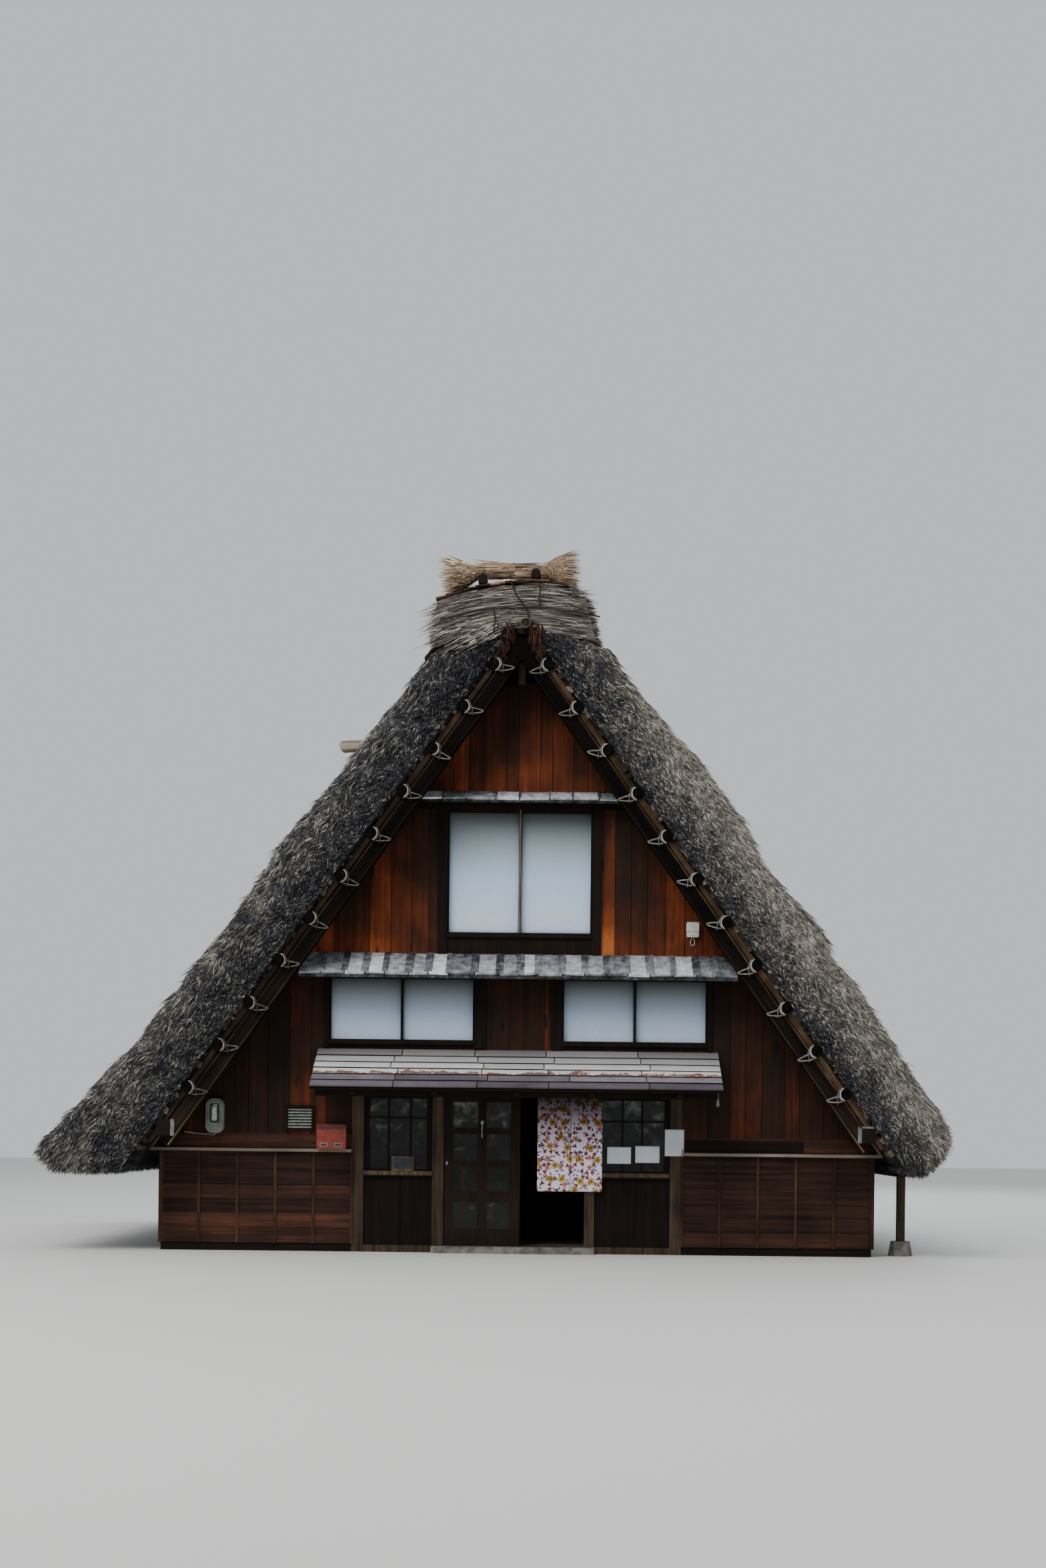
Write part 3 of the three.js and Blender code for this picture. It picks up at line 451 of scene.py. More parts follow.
SMOKED_BROWN = [(0, "#0c0807"), (0.4, "#1f1510"), (0.7, "#3c291f"), (1, "#705645")]
MATERIALS = {
    "thatch": thatch_finish(),
    # Miscanthus reed, laid in bundles and rained grey: pale and dark stalks side by side
    "ridge": make_reed("weathered_ridge_reed", [
        (0, "#121110"), (0.3, "#34302d"), (0.6, "#68615a"), (0.8, "#968d83"), (1, "#cdc4b6")]),
    # Rice straw, threshed and bound: warm gold at the tips, brown in the gaps
    "straw": make_reed("golden_rice_straw", [
        (0, "#1e1611"), (0.3, "#574639"), (0.6, "#9c846b"), (0.8, "#c7ae8f"), (1, "#efdfc7")]),
    # Cedar bark, stripped in sheets: dark red-brown with paler torn fibres
    "bark": make_reed("cedar_bark", [
        (0, "#110d0a"), (0.35, "#2a1e17"), (0.7, "#56402f"), (1, "#8f7156")]),
    # Reed mat, tied by hand and smoked by the hearth: nearly black, and a little browner at the right as
    # painted light
    "mat": make_reed("old_reed_mat", [
        (0, "#0c0b0a"), (0.4, "#1f1b18"), (0.75, "#3f3832"), (1, "#776b5f")],
        level=("X", -3.0, 3.0, -0.25, -0.12)),
    # Cedar boards, sawn and stood on end, with knots: brown-black in shelter and in painted shade under the
    # eaves, orange lower down in sun and rain and painted light, and painted a little lighter towards the
    # right
    "boards": wood("sunned_and_shaded_cedar_boards", [
        (0, "#130f0c"), (0.3, "#221913"), (0.5, "#331d13"), (0.7, "#5f2d18"), (0.88, "#914a25"),
        (1, "#b36a37")],
        level=("X", -3.0, 3.0, -0.07, -0.02), weights=(0.07, 0.16, 0.26, 0.27, 0.45), knots=0.3),
    # Cedar boards, sawn and sooty: the plain walls, dark brown with long streaks
    "dark_boards": wood("sooty_cedar_boards", [
        (0, "#080605"), (0.4, "#18100c"), (0.65, "#2e1c14"), (0.85, "#4b2c1e"), (1, "#68412b")]),
    # Cedar siding, sawn and nailed flat: dark red-brown streaks along each board
    "flat_boards": wood("sooty_cedar_siding", [
        (0, "#0c0908"), (0.35, "#1e1411"), (0.6, "#39251d"), (0.85, "#613a2a"), (1, "#8d5a42")],
        grain="x", level=-0.03),
    # Cedar, planed and smoked: smooth dark frames of the windows
    "timber": wood("smoked_window_timber", SMOKED_BROWN),
    # Cedar posts, hewn square and weathered: grey-brown with a deep open grain
    "post": wood("weathered_post_timber", [
        (0, "#0e0a08"), (0.35, "#28201a"), (0.65, "#514336"), (1, "#958472")], bump=0.6, level=0.2),
    # Cedar beams, planed and smoked: as the window frames, with the grain along the front
    "beam": wood("smoked_beam_timber", SMOKED_BROWN, grain="x", level=-0.04),
    # Chestnut logs, peeled and dried: dark brown with long cracks
    "log": wood("weathered_log", [
        (0, "#0d0a08"), (0.4, "#221a14"), (0.7, "#493c31"), (1, "#86745f")], grain="y"),
    # Sawn end grain, sooty and matt: it swallows the light. On the canopy it also paints the shadow under
    # each lap. Its pores are drawn 40 mm across.
    "end_grain": make_plain("sooty_end_grain_and_lap_shadow", "#060505", "#120f0d", 24.0, 0.95, bump=0.6,
                            Specular_IOR_Level=0.05),
    # Cedar doors, planed and rubbed by hands: dark red-brown
    "door": wood("dark_red_door_wood", [
        (0, "#120d0a"), (0.4, "#2a1e17"), (0.7, "#4b392d"), (1, "#7c6553")], level=-0.02),
    # Cedar planks, sawn and left bare to the rain: pale grey-beige with raised grain
    "ledge": wood("pale_weathered_ledge", [
        (0, "#221c19"), (0.3, "#4c423b"), (0.6, "#7d7063"), (1, "#bcae9a")],
        grain="x", bump=0.6, level=0.26),
    # Cedar roof boards, split and bleached: silver to nearly black, board by board, in blotches of 90 mm
    "shingle": wood("silver_grey_boards", [
        (0, "#141415"), (0.25, "#3e3f42"), (0.5, "#7d7f83"), (0.75, "#b4b5b7"), (1, "#eeeeec")],
        grain="y", bump=0.8, level=("Z", 3.6, 5.9, -0.13, -0.19), weights=(0.16, 0.12, 0.3, 0.58, 0.2),
        patch_size=11.0),
    # Granite, split and laid dry: rough grey with paler patches of 110 mm
    "stone": make_plain("rough_grey_stone", "#7d7a72", "#4f4c46", 9.0, 0.9, bump=0.6, reach=0.01),
    # Beaten earth: a dusty brown floor in clouds of 250 mm
    "earth": make_plain("beaten_earth_floor", "#5d5348", "#4a4239", 4.0, 0.95),
    # Hazel withes and straw rope, twisted: bone grey, paler towards the right as painted light and darker at
    # the left as painted shade
    "rope": make_reed("pale_withes_and_rope", [
        (0, "#171513"), (0.35, "#45413b"), (0.65, "#807b72"), (1, "#bdb9ae")],
        along=ROPE_LUMPS, level=("X", -2.5, 2.5, -0.42, -0.17)),
    # Straw rope, twisted and tarred: nearly black. Across the ridge cover it also paints a shadow line.
    "dark_rope": make_reed("tarred_rope_and_shadow_line", [(0, "#0f0d0c"), (0.5, "#211c1a"), (1, "#473f39")]),
    # Saplings, peeled and smoked: lumpy brown poles under the thatch, painted lighter at the right as painted
    # light
    "verge_pole": wood("smoked_verge_poles", [
        (0, "#0c0907"), (0.4, "#261c15"), (0.7, "#4d3b2b"), (1, "#8d7355")],
        grain="slope", bump=0.8, level=("X", -3.0, 3.0, -0.12, 0.14), weights=(0.2, 0.26, 0.3, 0.2, 0.0),
        patch_size=4.0),
    # Straw, smoked for years: rusty brown shreds in the dark of the apex
    "smoked_straw": make_reed("smoked_straw", [
        (0, "#0d0907"), (0.4, "#21130e"), (0.75, "#41251a"), (1, "#704a33")]),
    # Roof logs, hewn and smoked: black under the ridge, grey-brown towards the eaves, the darkening upwards
    # being painted shade
    "sloped": wood("smoked_and_shaded_roof_logs", [
        (0, "#060505"), (0.35, "#120e0c"), (0.6, "#261e18"), (0.8, "#453729"), (1, "#77634b")],
        grain="slope", bump=0.7, level=("Z", 1.5, 4.5, 0.3, -0.1), sheen=0.03),
    # Cedar laths, sawn and worn: a lighter brown than the siding under them
    "batten": wood("worn_brown_battens", [
        (0, "#110b09"), (0.4, "#2c1e16"), (0.7, "#5c4230"), (1, "#a17c59")], level=0.04),
    "canopy": make_canopy_wood(),
    "blinds": make_blind_cloth(),
    "noren": make_noren_print(),
    "glass": make_glass(),
    # Stove enamel on pressed steel, chalked by the sun: dull red in clouds of 70 mm
    "mailbox": make_plain("worn_red_enamel", "#8d2f1a", "#702413", 14.0, 0.45, bump=0.05),
    # The same enamel darkened as painted shade, on the lid and behind the label windows: darker red
    "mailbox_shaded": make_plain("shaded_red_enamel", "#551810", "#43130e", 14.0, 0.5, bump=0.05),
    # Enamel on cast metal, weathered: grey-green and dull in clouds of 100 mm
    "meter": make_plain("grey_green_enamel", "#757b70", "#5e645a", 10.0, 0.5, bump=0.05),
    # Painted tin parts behind glass: pale and smooth, mottled every 33 mm
    "dial": make_plain("pale_meter_works", "#8d958f", "#c9cec9", 30.0, 0.4, bump=0.05),
    # Rolled steel, hot-dip galvanised: its grey spangle is 10 mm across, and is drawn 33 mm across
    "steel": make_plain("dull_galvanised_steel", "#9a9d9e", "#7f8284", 30.0, 0.45, bump=0.05,
                        Metallic=0.8),
    # Pressed slats, painted and faded: matt grey with dirt in patches of 55 mm
    "slats": make_plain("faded_vent_slats", "#8f928b", "#6a6d67", 18.0, 0.7, bump=0.1),
    # Split slate, wiped: matt blue-black with a cloudy film of 80 mm
    "slate": make_plain("bare_chalkboard_slate", "#23282c", "#31373b", 12.0, 0.8, bump=0.05),
    # Uncoated paper: matt cool white, with soft waves of 330 mm
    "paper": make_plain("bare_white_paper", "#c9ced4", "#bfc4cb", 3.0, 0.9, bump=0.03),
    # White paint, brushed on wood and worn: grey-white with thin places every 40 mm
    "limewash": make_plain("white_paint_on_wood", "#7b7c78", "#50514e", 25.0, 0.8, bump=0.2),
    # ABS, moulded and yellowed a little: matt off-white, in faint clouds of 50 mm
    "white": make_plain("matt_white_plastic", "#d6d6cf", "#c4c4bb", 20.0, 0.5),
}


def dress(node, material):
    """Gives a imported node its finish."""
    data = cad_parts[node].data
    data.materials.clear()
    data.materials.append(MATERIALS[material])


# Meshes
def new_mesh(name, points, faces=()):
    """A mesh from points and faces."""
    mesh = bpy.data.meshes.new(name)
    mesh.from_pydata([tuple(p) for p in points], [], faces)
    return mesh


def face_outwards(mesh):
    """Turns a mesh's faces outwards."""
    turned = bmesh.new()
    turned.from_mesh(mesh)
    bmesh.ops.recalc_face_normals(turned, faces=turned.faces)
    turned.to_mesh(mesh)
    turned.free()
    return mesh


class Carpentry:
    """Collects closed solids into one mesh, with a tone and a fade of sun and painted light for each point.
    """

    def __init__(self):
        """Starts empty."""
        self.points, self.faces, self.tones, self.fades_and_light = [], [], [], []

    def prism(self, near, far, tone=0.5, fades_and_light=None):
        """Joins two outlines point by point, with a fade of sun and painted light for each pair of points."""
        start, count = len(self.points), len(near)
        self.points += [tuple(p) for p in near] + [tuple(p) for p in far]
        self.tones += [tone] * (2 * count)
        self.fades_and_light += list(fades_and_light or [0.0] * count) * 2
        self.faces.append([start + i for i in range(count)])
        self.faces.append([start + count + i for i in reversed(range(count))])
        for i in range(count):
            j = (i + 1) % count
            self.faces.append([start + j, start + i, start + count + i, start + count + j])

    def plate(self, outline, y0, y1, tone=0.5, fades_and_light=None):
        """A prism along Y with one outline in X and Z."""
        self.prism([(x, y0, z) for x, z in outline], [(x, y1, z) for x, z in outline], tone, fades_and_light)

    def box(self, low, high, tone=0.5):
        """A plain squared timber."""
        (x0, y0, z0), (x1, y1, z1) = low, high
        self.plate([(x0, z0), (x1, z0), (x1, z1), (x0, z1)], y0, y1, tone)

    def tube(self, path, radius, sides=6, closed=False, tone=0.5):
        """A round bar along a path, with one radius or one for each point."""
        path = [Vector(p) for p in path]
        count, start = len(path), len(self.points)
        ahead = [path[(i + 1) % count] - path[i - 1] for i in range(count)]
        if not closed:
            ahead[0], ahead[-1] = path[1] - path[0], path[-1] - path[-2]
        side = ahead[0].orthogonal().normalized()
        girths = radius if isinstance(radius, list) else [radius] * count
        for here, way, girth in zip(path, ahead, girths):
            way = way.normalized()
            side = (side - way * side.dot(way)).normalized()
            other = way.cross(side)
            for k in range(sides):
                angle = 2 * pi * k / sides
                self.points.append(tuple(here + girth * (side * cos(angle) + other * sin(angle))))
        self.tones += [tone] * (count * sides)
        self.fades_and_light += [0.0] * (count * sides)
        for i in range(count if closed else count - 1):
            for k in range(sides):
                a, b = start + i * sides, start + (i + 1) % count * sides
                self.faces.append([a + k, a + (k + 1) % sides, b + (k + 1) % sides, b + k])
        if not closed:
            self.faces.append([start + k for k in reversed(range(sides))])
            self.faces.append([start + (count - 1) * sides + k for k in range(sides)])

    def mesh(self, name):
        """The mesh, with its faces turned outwards."""
        mesh = new_mesh(name, self.points, self.faces)
        for label, values in (("tone", self.tones), ("fade", self.fades_and_light)):
            mesh.attributes.new(label, "FLOAT", "POINT").data.foreach_set("value", values)
        return face_outwards(mesh)

    def build(self, name, material, slot=None, body=BODY, bevel=0.0):
        """Makes the piece."""
        return place_mesh(name, self.mesh(name), material, slot, body, bevel)


def place_mesh(name, mesh, material, slot=None, body=BODY, bevel=0.0):
    """Puts a mesh in the scene as a piece that rides on a body."""
    piece = put_in_scene(name, mesh)
    mesh.materials.clear()
    mesh.materials.append(MATERIALS[material])
    if bevel:
        rounding = piece.modifiers.new("worn_edges", "BEVEL")
        rounding.width, rounding.segments, rounding.limit_method = bevel, 1, "ANGLE"
    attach(piece, body)
    return piece


# Straws laid over a surface, with Geometry Nodes
def new_tree(name, result, **inputs):
    """An empty node tree with named inputs, and its input node's outputs."""
    tree = bpy.data.node_groups.new(name, "GeometryNodeTree")
    for label, kind in inputs.items():
        tree.interface.new_socket(label, in_out="INPUT", socket_type="NodeSocket" + kind)
    tree.interface.new_socket(result, in_out="OUTPUT", socket_type="NodeSocketGeometry")
    return tree, add(tree, "NodeGroupInput", out=None)


def end_tree(tree, copies, finish, seed):
    """Gives every copy its own tone, and makes the copies real."""
    tone = add(tree, "FunctionNodeRandomValue", {2: 0.0, 3: 1.0, "Seed": seed}, out=1, data_type="FLOAT")
    toned = add(tree, "GeometryNodeStoreNamedAttribute", {"Geometry": copies, "Name": "tone", "Value": tone},
                data_type="FLOAT", domain="INSTANCE")
    real = add(tree, "GeometryNodeRealizeInstances", toned)
    finished = add(tree, "GeometryNodeSetMaterial", {"Geometry": real, "Material": finish})
    add(tree, "NodeGroupOutput", finished)


def straw_tree():
    """Scatters three-sided straws over a mesh, roughly along one direction."""
    tree, given = new_tree("lay_straws", "Straws", Surface="Geometry", Density="Float", Length="Float",
                           Girth="Float", Direction="Vector", Bend="Vector", Spread="Float", Lift="Float",
                           Tuft="Float", Seed="Int", Straw="Material")
    seed = given["Seed"]
    points = add(tree, "GeometryNodeDistributePointsOnFaces", {
        "Mesh": given["Surface"], "Density": given["Density"], "Seed": seed}, out=None)
    wild = add(tree, "FunctionNodeRandomValue", {0: (-1.0, -1.0, -1.0), 1: (1.0, 1.0, 1.0), "Seed": seed},
               data_type="FLOAT_VECTOR")
    across = add(tree, "SeparateXYZ", add(tree, "GeometryNodeInputPosition"))
    lean = add(tree, "TexNoise", {"Scale": 0.6 / TUFT, "Detail": 1.0}, out="Color")
    lean = add(tree, "VectorMath", lean, (0.5, 0.5, 0.5), operation="SUBTRACT")
    way = given["Direction"]
    for part, size in (
            (wild, given["Spread"]), (points["Normal"], given["Lift"]), (lean, given["Tuft"]),
            (given["Bend"], across)):
        sized = add(tree, "VectorMath", {0: part, "Scale": size}, operation="SCALE")
        way = add(tree, "VectorMath", way, sized, operation="ADD")
    turn = add(tree, "FunctionNodeAlignRotationToVector", {"Vector": way}, axis="Z")
    size = add(tree, "FunctionNodeRandomValue", {2: 0.5, 3: 1.35, "Seed": seed}, out=1, data_type="FLOAT")
    straw = add(tree, "GeometryNodeMeshCone", {
        "Vertices": 3, "Radius Bottom": given["Girth"], "Depth": given["Length"]})
    laid = add(tree, "GeometryNodeInstanceOnPoints", {
        "Points": points["Points"], "Instance": straw, "Rotation": turn, "Scale": size})
    end_tree(tree, laid, given["Straw"], 5)
    return tree


STRAWS = straw_tree()


def finished_mesh(carrier, name):
    """The evaluated shape of an object, which is used up, as a plain mesh."""
    bpy.context.view_layer.update()
    made = bpy.data.meshes.new_from_object(carrier.evaluated_get(bpy.context.evaluated_depsgraph_get()))
    made.name = name
    bpy.data.objects.remove(carrier)
    return made


def carrier_with(name, surface, tree, values):
    """An object that carries a node tree, with its named inputs set."""
    carrier = put_in_scene(name, surface)
    layer = carrier.modifiers.new("layer", "NODES")
    layer.node_group = tree
    for item in tree.interface.items_tree:
        if item.name in values:
            layer[item.identifier] = values[item.name]
    return carrier


def lay_straws(name, surface, material, slot, seed, direction, bend=(0.0, 0.0, 0.0), **sizes):
    """One piece of straws over a bare mesh. sizes are density, length, girth, spread, lift and tuft."""
    values = {key.capitalize(): value for key, value in sizes.items()}
    values.update({"Direction": direction, "Bend": bend, "Seed": seed, "Straw": MATERIALS[material]})
    made = finished_mesh(carrier_with(name + "_bed", surface, STRAWS, values), name)
    return place_mesh(name, made, material, slot)


def setting_tree():
    """Sets a template at every point of a mesh, turned about Y by up to Sway either way."""
    tree, given = new_tree("set_out", "Copies", Places="Geometry", Template="Object", Sway="Float",
                           Finish="Material")
    template = add(tree, "GeometryNodeObjectInfo", {"Object": given["Template"]}, out="Geometry")
    chance = add(tree, "FunctionNodeRandomValue", {2: -1.0, 3: 1.0, "Seed": 8}, out=1, data_type="FLOAT")
    angle = add(tree, "Math", chance, given["Sway"], operation="MULTIPLY")
    turn = add(tree, "CombineXYZ", {1: angle})
    copies = add(tree, "GeometryNodeInstanceOnPoints", {
        "Points": given["Places"], "Instance": template, "Rotation": turn})
    end_tree(tree, copies, given["Finish"], 3)
    return tree


SETTING = setting_tree()


def set_out(name, template, places, material, slot, sway=0.0):
    """One piece of copies of a Carpentry template, which is drawn round the origin."""
    points = new_mesh(name + "_places", places)
    original = put_in_scene(name + "_template", template.mesh(name + "_template"))
    values = {"Template": original, "Finish": MATERIALS[material], "Sway": sway}
    made = finished_mesh(carrier_with(name + "_set", points, SETTING, values), name)
    bpy.data.objects.remove(original)
    return place_mesh(name, made, material, slot)


# Camera, light and floor. The photograph was taken level at eye height, with the frame shifted upwards.
# Its level lines meet at VANISHING, in its own pixels.
IMAGE_WIDTH, IMAGE_HEIGHT = 1568, 2351
VANISHING = (828, 1690)
FOCAL_PIXELS = 3000
EYE = (0.45, FRONT - 25.6, 1.62)
ROLL = 0.0113
FLOOR_REACH = 60.0


def photograph_camera():
    """A level camera with lens shift, as the photograph was framed."""
    lens = bpy.data.cameras.new("photo_camera")
    lens.sensor_width = 36.0
    lens.lens = lens.sensor_width * FOCAL_PIXELS / IMAGE_HEIGHT
    lens.shift_x = (IMAGE_WIDTH / 2 - VANISHING[0]) / IMAGE_HEIGHT
    lens.shift_y = (VANISHING[1] - IMAGE_HEIGHT / 2) / IMAGE_HEIGHT
    lens.clip_end = 200.0
    camera = put_in_scene("photo_camera", lens)
    camera.location = EYE
    camera.rotation_euler = (radians(90), -ROLL, 0.0)
    bpy.context.scene.camera = camera


def soft_light(name, place, target, power, size, code):
    """A large square light that faces its target."""
    lamp = bpy.data.lights.new(name, "AREA")
    lamp.energy, lamp.size, lamp.color = power, size, linear(code)[:3]
    fixture = put_in_scene(name, lamp)
    fixture.location = place
    fixture.rotation_euler = (Vector(target) - Vector(place)).to_track_quat("-Z", "Y").to_euler()


def studio():
    """A pale sky, broad lights from the front left and from behind, and a pale floor."""
    world = bpy.data.worlds.new("pale_studio")
    bpy.context.scene.world = world
    world.use_nodes = True
    background = world.node_tree.nodes["Background"]
    background.inputs[0].default_value = linear("#e9eef4")
    background.inputs[1].default_value = 0.8
    soft_light("sky_panel", (-9.0, -20.0, 22.0), (0.0, -2.0, 3.0), 5200.0, 14.0, "#ffffff")
    soft_light("back_panel", (8.0, 22.0, 18.0), (0.0, 2.0, 3.0), 2600.0, 14.0, "#f4f7ff")
    corners = [(x * FLOOR_REACH, y * FLOOR_REACH, 0) for x, y in ((-1, -1), (1, -1), (1, 1), (-1, 1))]
    mesh = new_mesh("floor", corners, [(0, 1, 2, 3)])
    floor = put_in_scene("floor", mesh)
    material, tree, _ = new_material("pale_floor")
    finish_material(tree, linear("#d9d7d2"), 0.8)
    mesh.materials.append(material)


photograph_camera()
studio()

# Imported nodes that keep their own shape
PLAIN = {
    "timber": ["left_bay_window", "right_bay_window", "wall_vent"],
    "post": ["bay_frame", "eave_frame_right"],
    "beam": [
        "ground_sill", "canopy_frame", "noren_rod", "second_floor", "attic_floor", "sign_board",
        "canopy_roof",
    ],
    "boards": ["front_gable_wall", "back_gable_wall"],
    "dark_boards": [
        "front_wall_left", "front_wall_right", "wall_over_door", "back_wall", "side_wall_left",
        "side_wall_right",
    ],
    "log": ["ridge_pole", "wall_plate_left", "wall_plate_right"],
    "door": ["outer_door", "inner_door"],
    "ledge": ["ledge_left", "ledge_right"],
    "stone": ["door_step", "eave_stone_1", "eave_stone_2", "eave_stone_3"],
    "earth": ["ground_floor"],
    "blinds": ["front_second_blinds", "front_attic_blinds", "back_second_blinds", "back_attic_blinds"],
    "white": ["white_box"],
    "mailbox": ["mailbox"],
    "meter": ["electric_meter"],
    "slats": ["canopy_lamp"],
    "shingle": ["pent_roof_lower", "pent_roof_upper"],
    "sloped": ["roof_frame_left", "roof_frame_right"],
    "glass": ["left_bay_glass", "right_bay_glass", "outer_door_glass", "inner_door_glass"],
}
for finish, names in PLAIN.items():
    for each in names:
        dress(each, finish)
for face in VERGES:
    for each in ("second_window_left", "second_window_right", "attic_window"):
        dress(f"{face}_{each}", "timber")


# Thatch: a block between the rafters' line and the outside, rounded at its verges, with straws all over,
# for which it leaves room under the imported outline
ROUNDING = 0.22
STRAW_ALLOWANCE = 0.05
SKIN_STEP = 0.11
SLOPE_STEPS, LAYERS = 110, 10
# The smooth underside takes this share of the thickness
UNDERSIDE = 0.05
# Behind its verge the right slope stands this much prouder
STEP_UP = 0.07
# Outside this depth from the rafters the reeds are longer
LONG_REEDS_FROM = 0.42
EAVE_TOP = 1.75
# For each kind of straw its seed, then straws a square metre, length, girth, spread, lift and tuft
THATCH_STRAWS = {
    "verge": (10, 3000.0, 0.058, 0.0064, 0.5, 0.5, 2.0),
    "shoulder": (15, 2300.0, 0.11, 0.0062, 0.2, 0.18, 2.2),
    "skin": (20, 310.0, 0.20, 0.0115, 0.15, 0.08, 1.2),
    "eave": (30, 1150.0, 0.085, 0.0085, 0.4, 0.3, 2.1),
}


def resampled(line, count):
    """Points at even steps along a line."""
    line = np.array(line)
    along = np.concatenate([[0], np.cumsum(np.hypot(*np.diff(line, axis=0).T))])
    places = np.linspace(0, along[-1], count + 1)
    return np.column_stack([np.interp(places, along, line[:, k]) for k in (0, 1)])


def corner_rounding(inward, from_verge, radius):
    """Moves a point near the verge's outer edge onto an arc, by its distances from both faces."""
    if inward >= radius or from_verge >= radius or (inward > 0 and from_verge > 0):
        return inward, from_verge
    quarter = pi / 4
    if inward == 0:
        angle = quarter + quarter * from_verge / radius
    else:
        angle = quarter - quarter * inward / radius
    return radius - radius * sin(angle), radius - radius * cos(angle)


def lumps(place, size, height):
    """Soft lumps, up to about half their height either way."""
    return noise.noise(tuple(p * s for p, s in zip(place, size))) * height


def thatch_block(word):
    """The faces of one slope's block as grids of points."""
    side = SIDES[word]
    outside = resampled(THATCH_OUTSIDE[word][::-1], SLOPE_STEPS)
    inner = EAVE_INNER[word]
    inside = resampled([RIDGE_SEAT, (inner, roof_height(inner))], SLOPE_STEPS)
    depth = VERGE_BACK - VERGE_FRONT
    rows = round(depth / SKIN_STEP)
    lengths = np.hypot(*(outside - inside).T)

    def point(i, t, y_share):
        """Step i down the slope, share t of the thickness outwards and share y_share from front to back."""
        from_verge = depth * min(y_share, 1 - y_share)
        moved, out = corner_rounding(lengths[i] * (1 - t), from_verge, ROUNDING)
        if t > UNDERSIDE:
            t = 1 - (moved + STRAW_ALLOWANCE) / lengths[i]
        y = VERGE_FRONT + out if y_share < 0.5 else VERGE_BACK - out
        x, z = inside[i] + (outside[i] - inside[i]) * t
        if t > UNDERSIDE:
            rough = noise.noise((x * 1.3, y * 1.1, z * 1.3 + 20 * side)) * 0.05
            rough += lumps((x, y, z), (5.0, 4.0, 5.0), 0.025)
            if side > 0 and t > 0.8:
                rough += STEP_UP * min(1, max(0, from_verge - 0.25) / 0.3)
            rise = (rough - 0.02) * min(1, t * 2)
            x, z = x + rise * SIN, z + rise * COS
            if from_verge == 0:
                dent = abs(noise.noise((x * 3.5, z * 3.5, 5.0))) * 0.09
                dent += abs(noise.noise((x * 8.0, z * 8.0, 5.0))) * 0.04
                y += dent if y_share < 0.5 else -dent
        return (side * x, y, z)

    def grid(count_a, count_b, where):
        """Rows of points."""
        return [[where(a, b) for b in range(count_b + 1)] for a in range(count_a + 1)]

    last = SLOPE_STEPS
    return {
        "skin": grid(last, rows, lambda a, b: point(a, 1.0, b / rows)),
        "underside": grid(last, rows, lambda a, b: point(a, 0.0, b / rows)),
        "verge_front": grid(last, LAYERS, lambda a, b: point(a, b / LAYERS, 0.0)),
        "verge_back": grid(last, LAYERS, lambda a, b: point(a, b / LAYERS, 1.0)),
        "ridge_side": grid(rows, LAYERS, lambda a, b: point(0, b / LAYERS, a / rows)),
        "eave": grid(rows, LAYERS, lambda a, b: point(last, b / LAYERS, a / rows)),
    }


def grids_mesh(name, grids):
    """Welds grids of points into one mesh with its faces outwards."""
    built = bmesh.new()
    for grid in grids:
        corners = [[built.verts.new(p) for p in row] for row in grid]
        for row, following in zip(corners, corners[1:]):
            for k in range(len(row) - 1):
                built.faces.new((row[k], row[k + 1], following[k + 1], following[k]))
    bmesh.ops.remove_doubles(built, verts=built.verts, dist=0.0005)
    mesh = bpy.data.meshes.new(name)
    built.to_mesh(mesh)
    built.free()
    mesh.shade_smooth()
    return face_outwards(mesh)


def bed_from(mesh, keep):
    """A copy of a mesh with only the faces that keep() accepts by centre and normal."""
    built = bmesh.new()
    built.from_mesh(mesh)
    gone = [f for f in built.faces if not keep(f.calc_center_median(), f.normal)]
    bmesh.ops.delete(built, geom=gone, context="FACES")
    bed = bpy.data.meshes.new("bed")
    built.to_mesh(bed)
    built.free()
    return bed


def make_thatch(word):
    """One slope: its body, and straws that point down it, by kind."""
    side = SIDES[word]
    body = grids_mesh(f"thatch_{word}_body", thatch_block(word).values())
    # The body has no tone of its own, so it takes dark tones: painted shade in the gaps between the straws
    core = place_mesh(f"thatch_{word}_body", body, "thatch", "thatch")
    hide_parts(f"thatch_{word}")
    down = (side * COS, 0.0, -SIN)
    under = Vector((-side * SIN, 0, -COS))

    def kind_at(centre, normal):
        """The kind of straw on a face, or None on the underside."""
        if abs(normal.y) > 0.45:
            depth = abs(centre.x) * SIN + (centre.z - APEX) * COS
            kind, steepest = ("verge" if depth < LONG_REEDS_FROM else "shoulder"), 0.75
        elif centre.z > EAVE_TOP:
            kind, steepest = "skin", 0.3
        else:
            kind, steepest = "eave", 0.95
        return kind if normal.dot(under) < steepest else None

    for label, (seed, *sizes) in THATCH_STRAWS.items():
        sizes = dict(zip(("density", "length", "girth", "spread", "lift", "tuft"), sizes))
        bed = bed_from(body, lambda centre, normal: kind_at(centre, normal) == label)
        name = f"thatch_{word}_{label}_straws"
        lay_straws(name, bed, "thatch", "thatch", seed + side, down, **sizes)


for side_word in SIDES:
    make_thatch(side_word)


# Ridge cover: reeds laid across the ridge under an arched top, with ragged ends
COVER_CREST = (0.2, 8.405)
COVER_FALL = {"left": 0.15, "right": 0.5}
COVER_HOLLOW = (0.06, 7.89)
COVER_ENDS = {
    "left": [(1.07, 7.64), (1.06, 7.90), (1.02, 8.13)],
    "right": [(0.93, 7.661), (0.88, 7.90), (0.80, 8.195)],
}
# The reeds start above this height and are this long, and slant and droop towards each side
COVER_LOWEST = 7.68
COVER_REED = 0.3
COVER_LIE = {"left": (-0.1, 0.34), "right": (0.02, 0.17)}
# The outline of the thin fringe at each verge, below the cover's left end, in X and Z
HANGING_EDGE = [(-0.16, 7.86), (-0.22, 7.75), (-0.58, 7.55), (-0.90, 7.60), (-1.03, 7.78)]
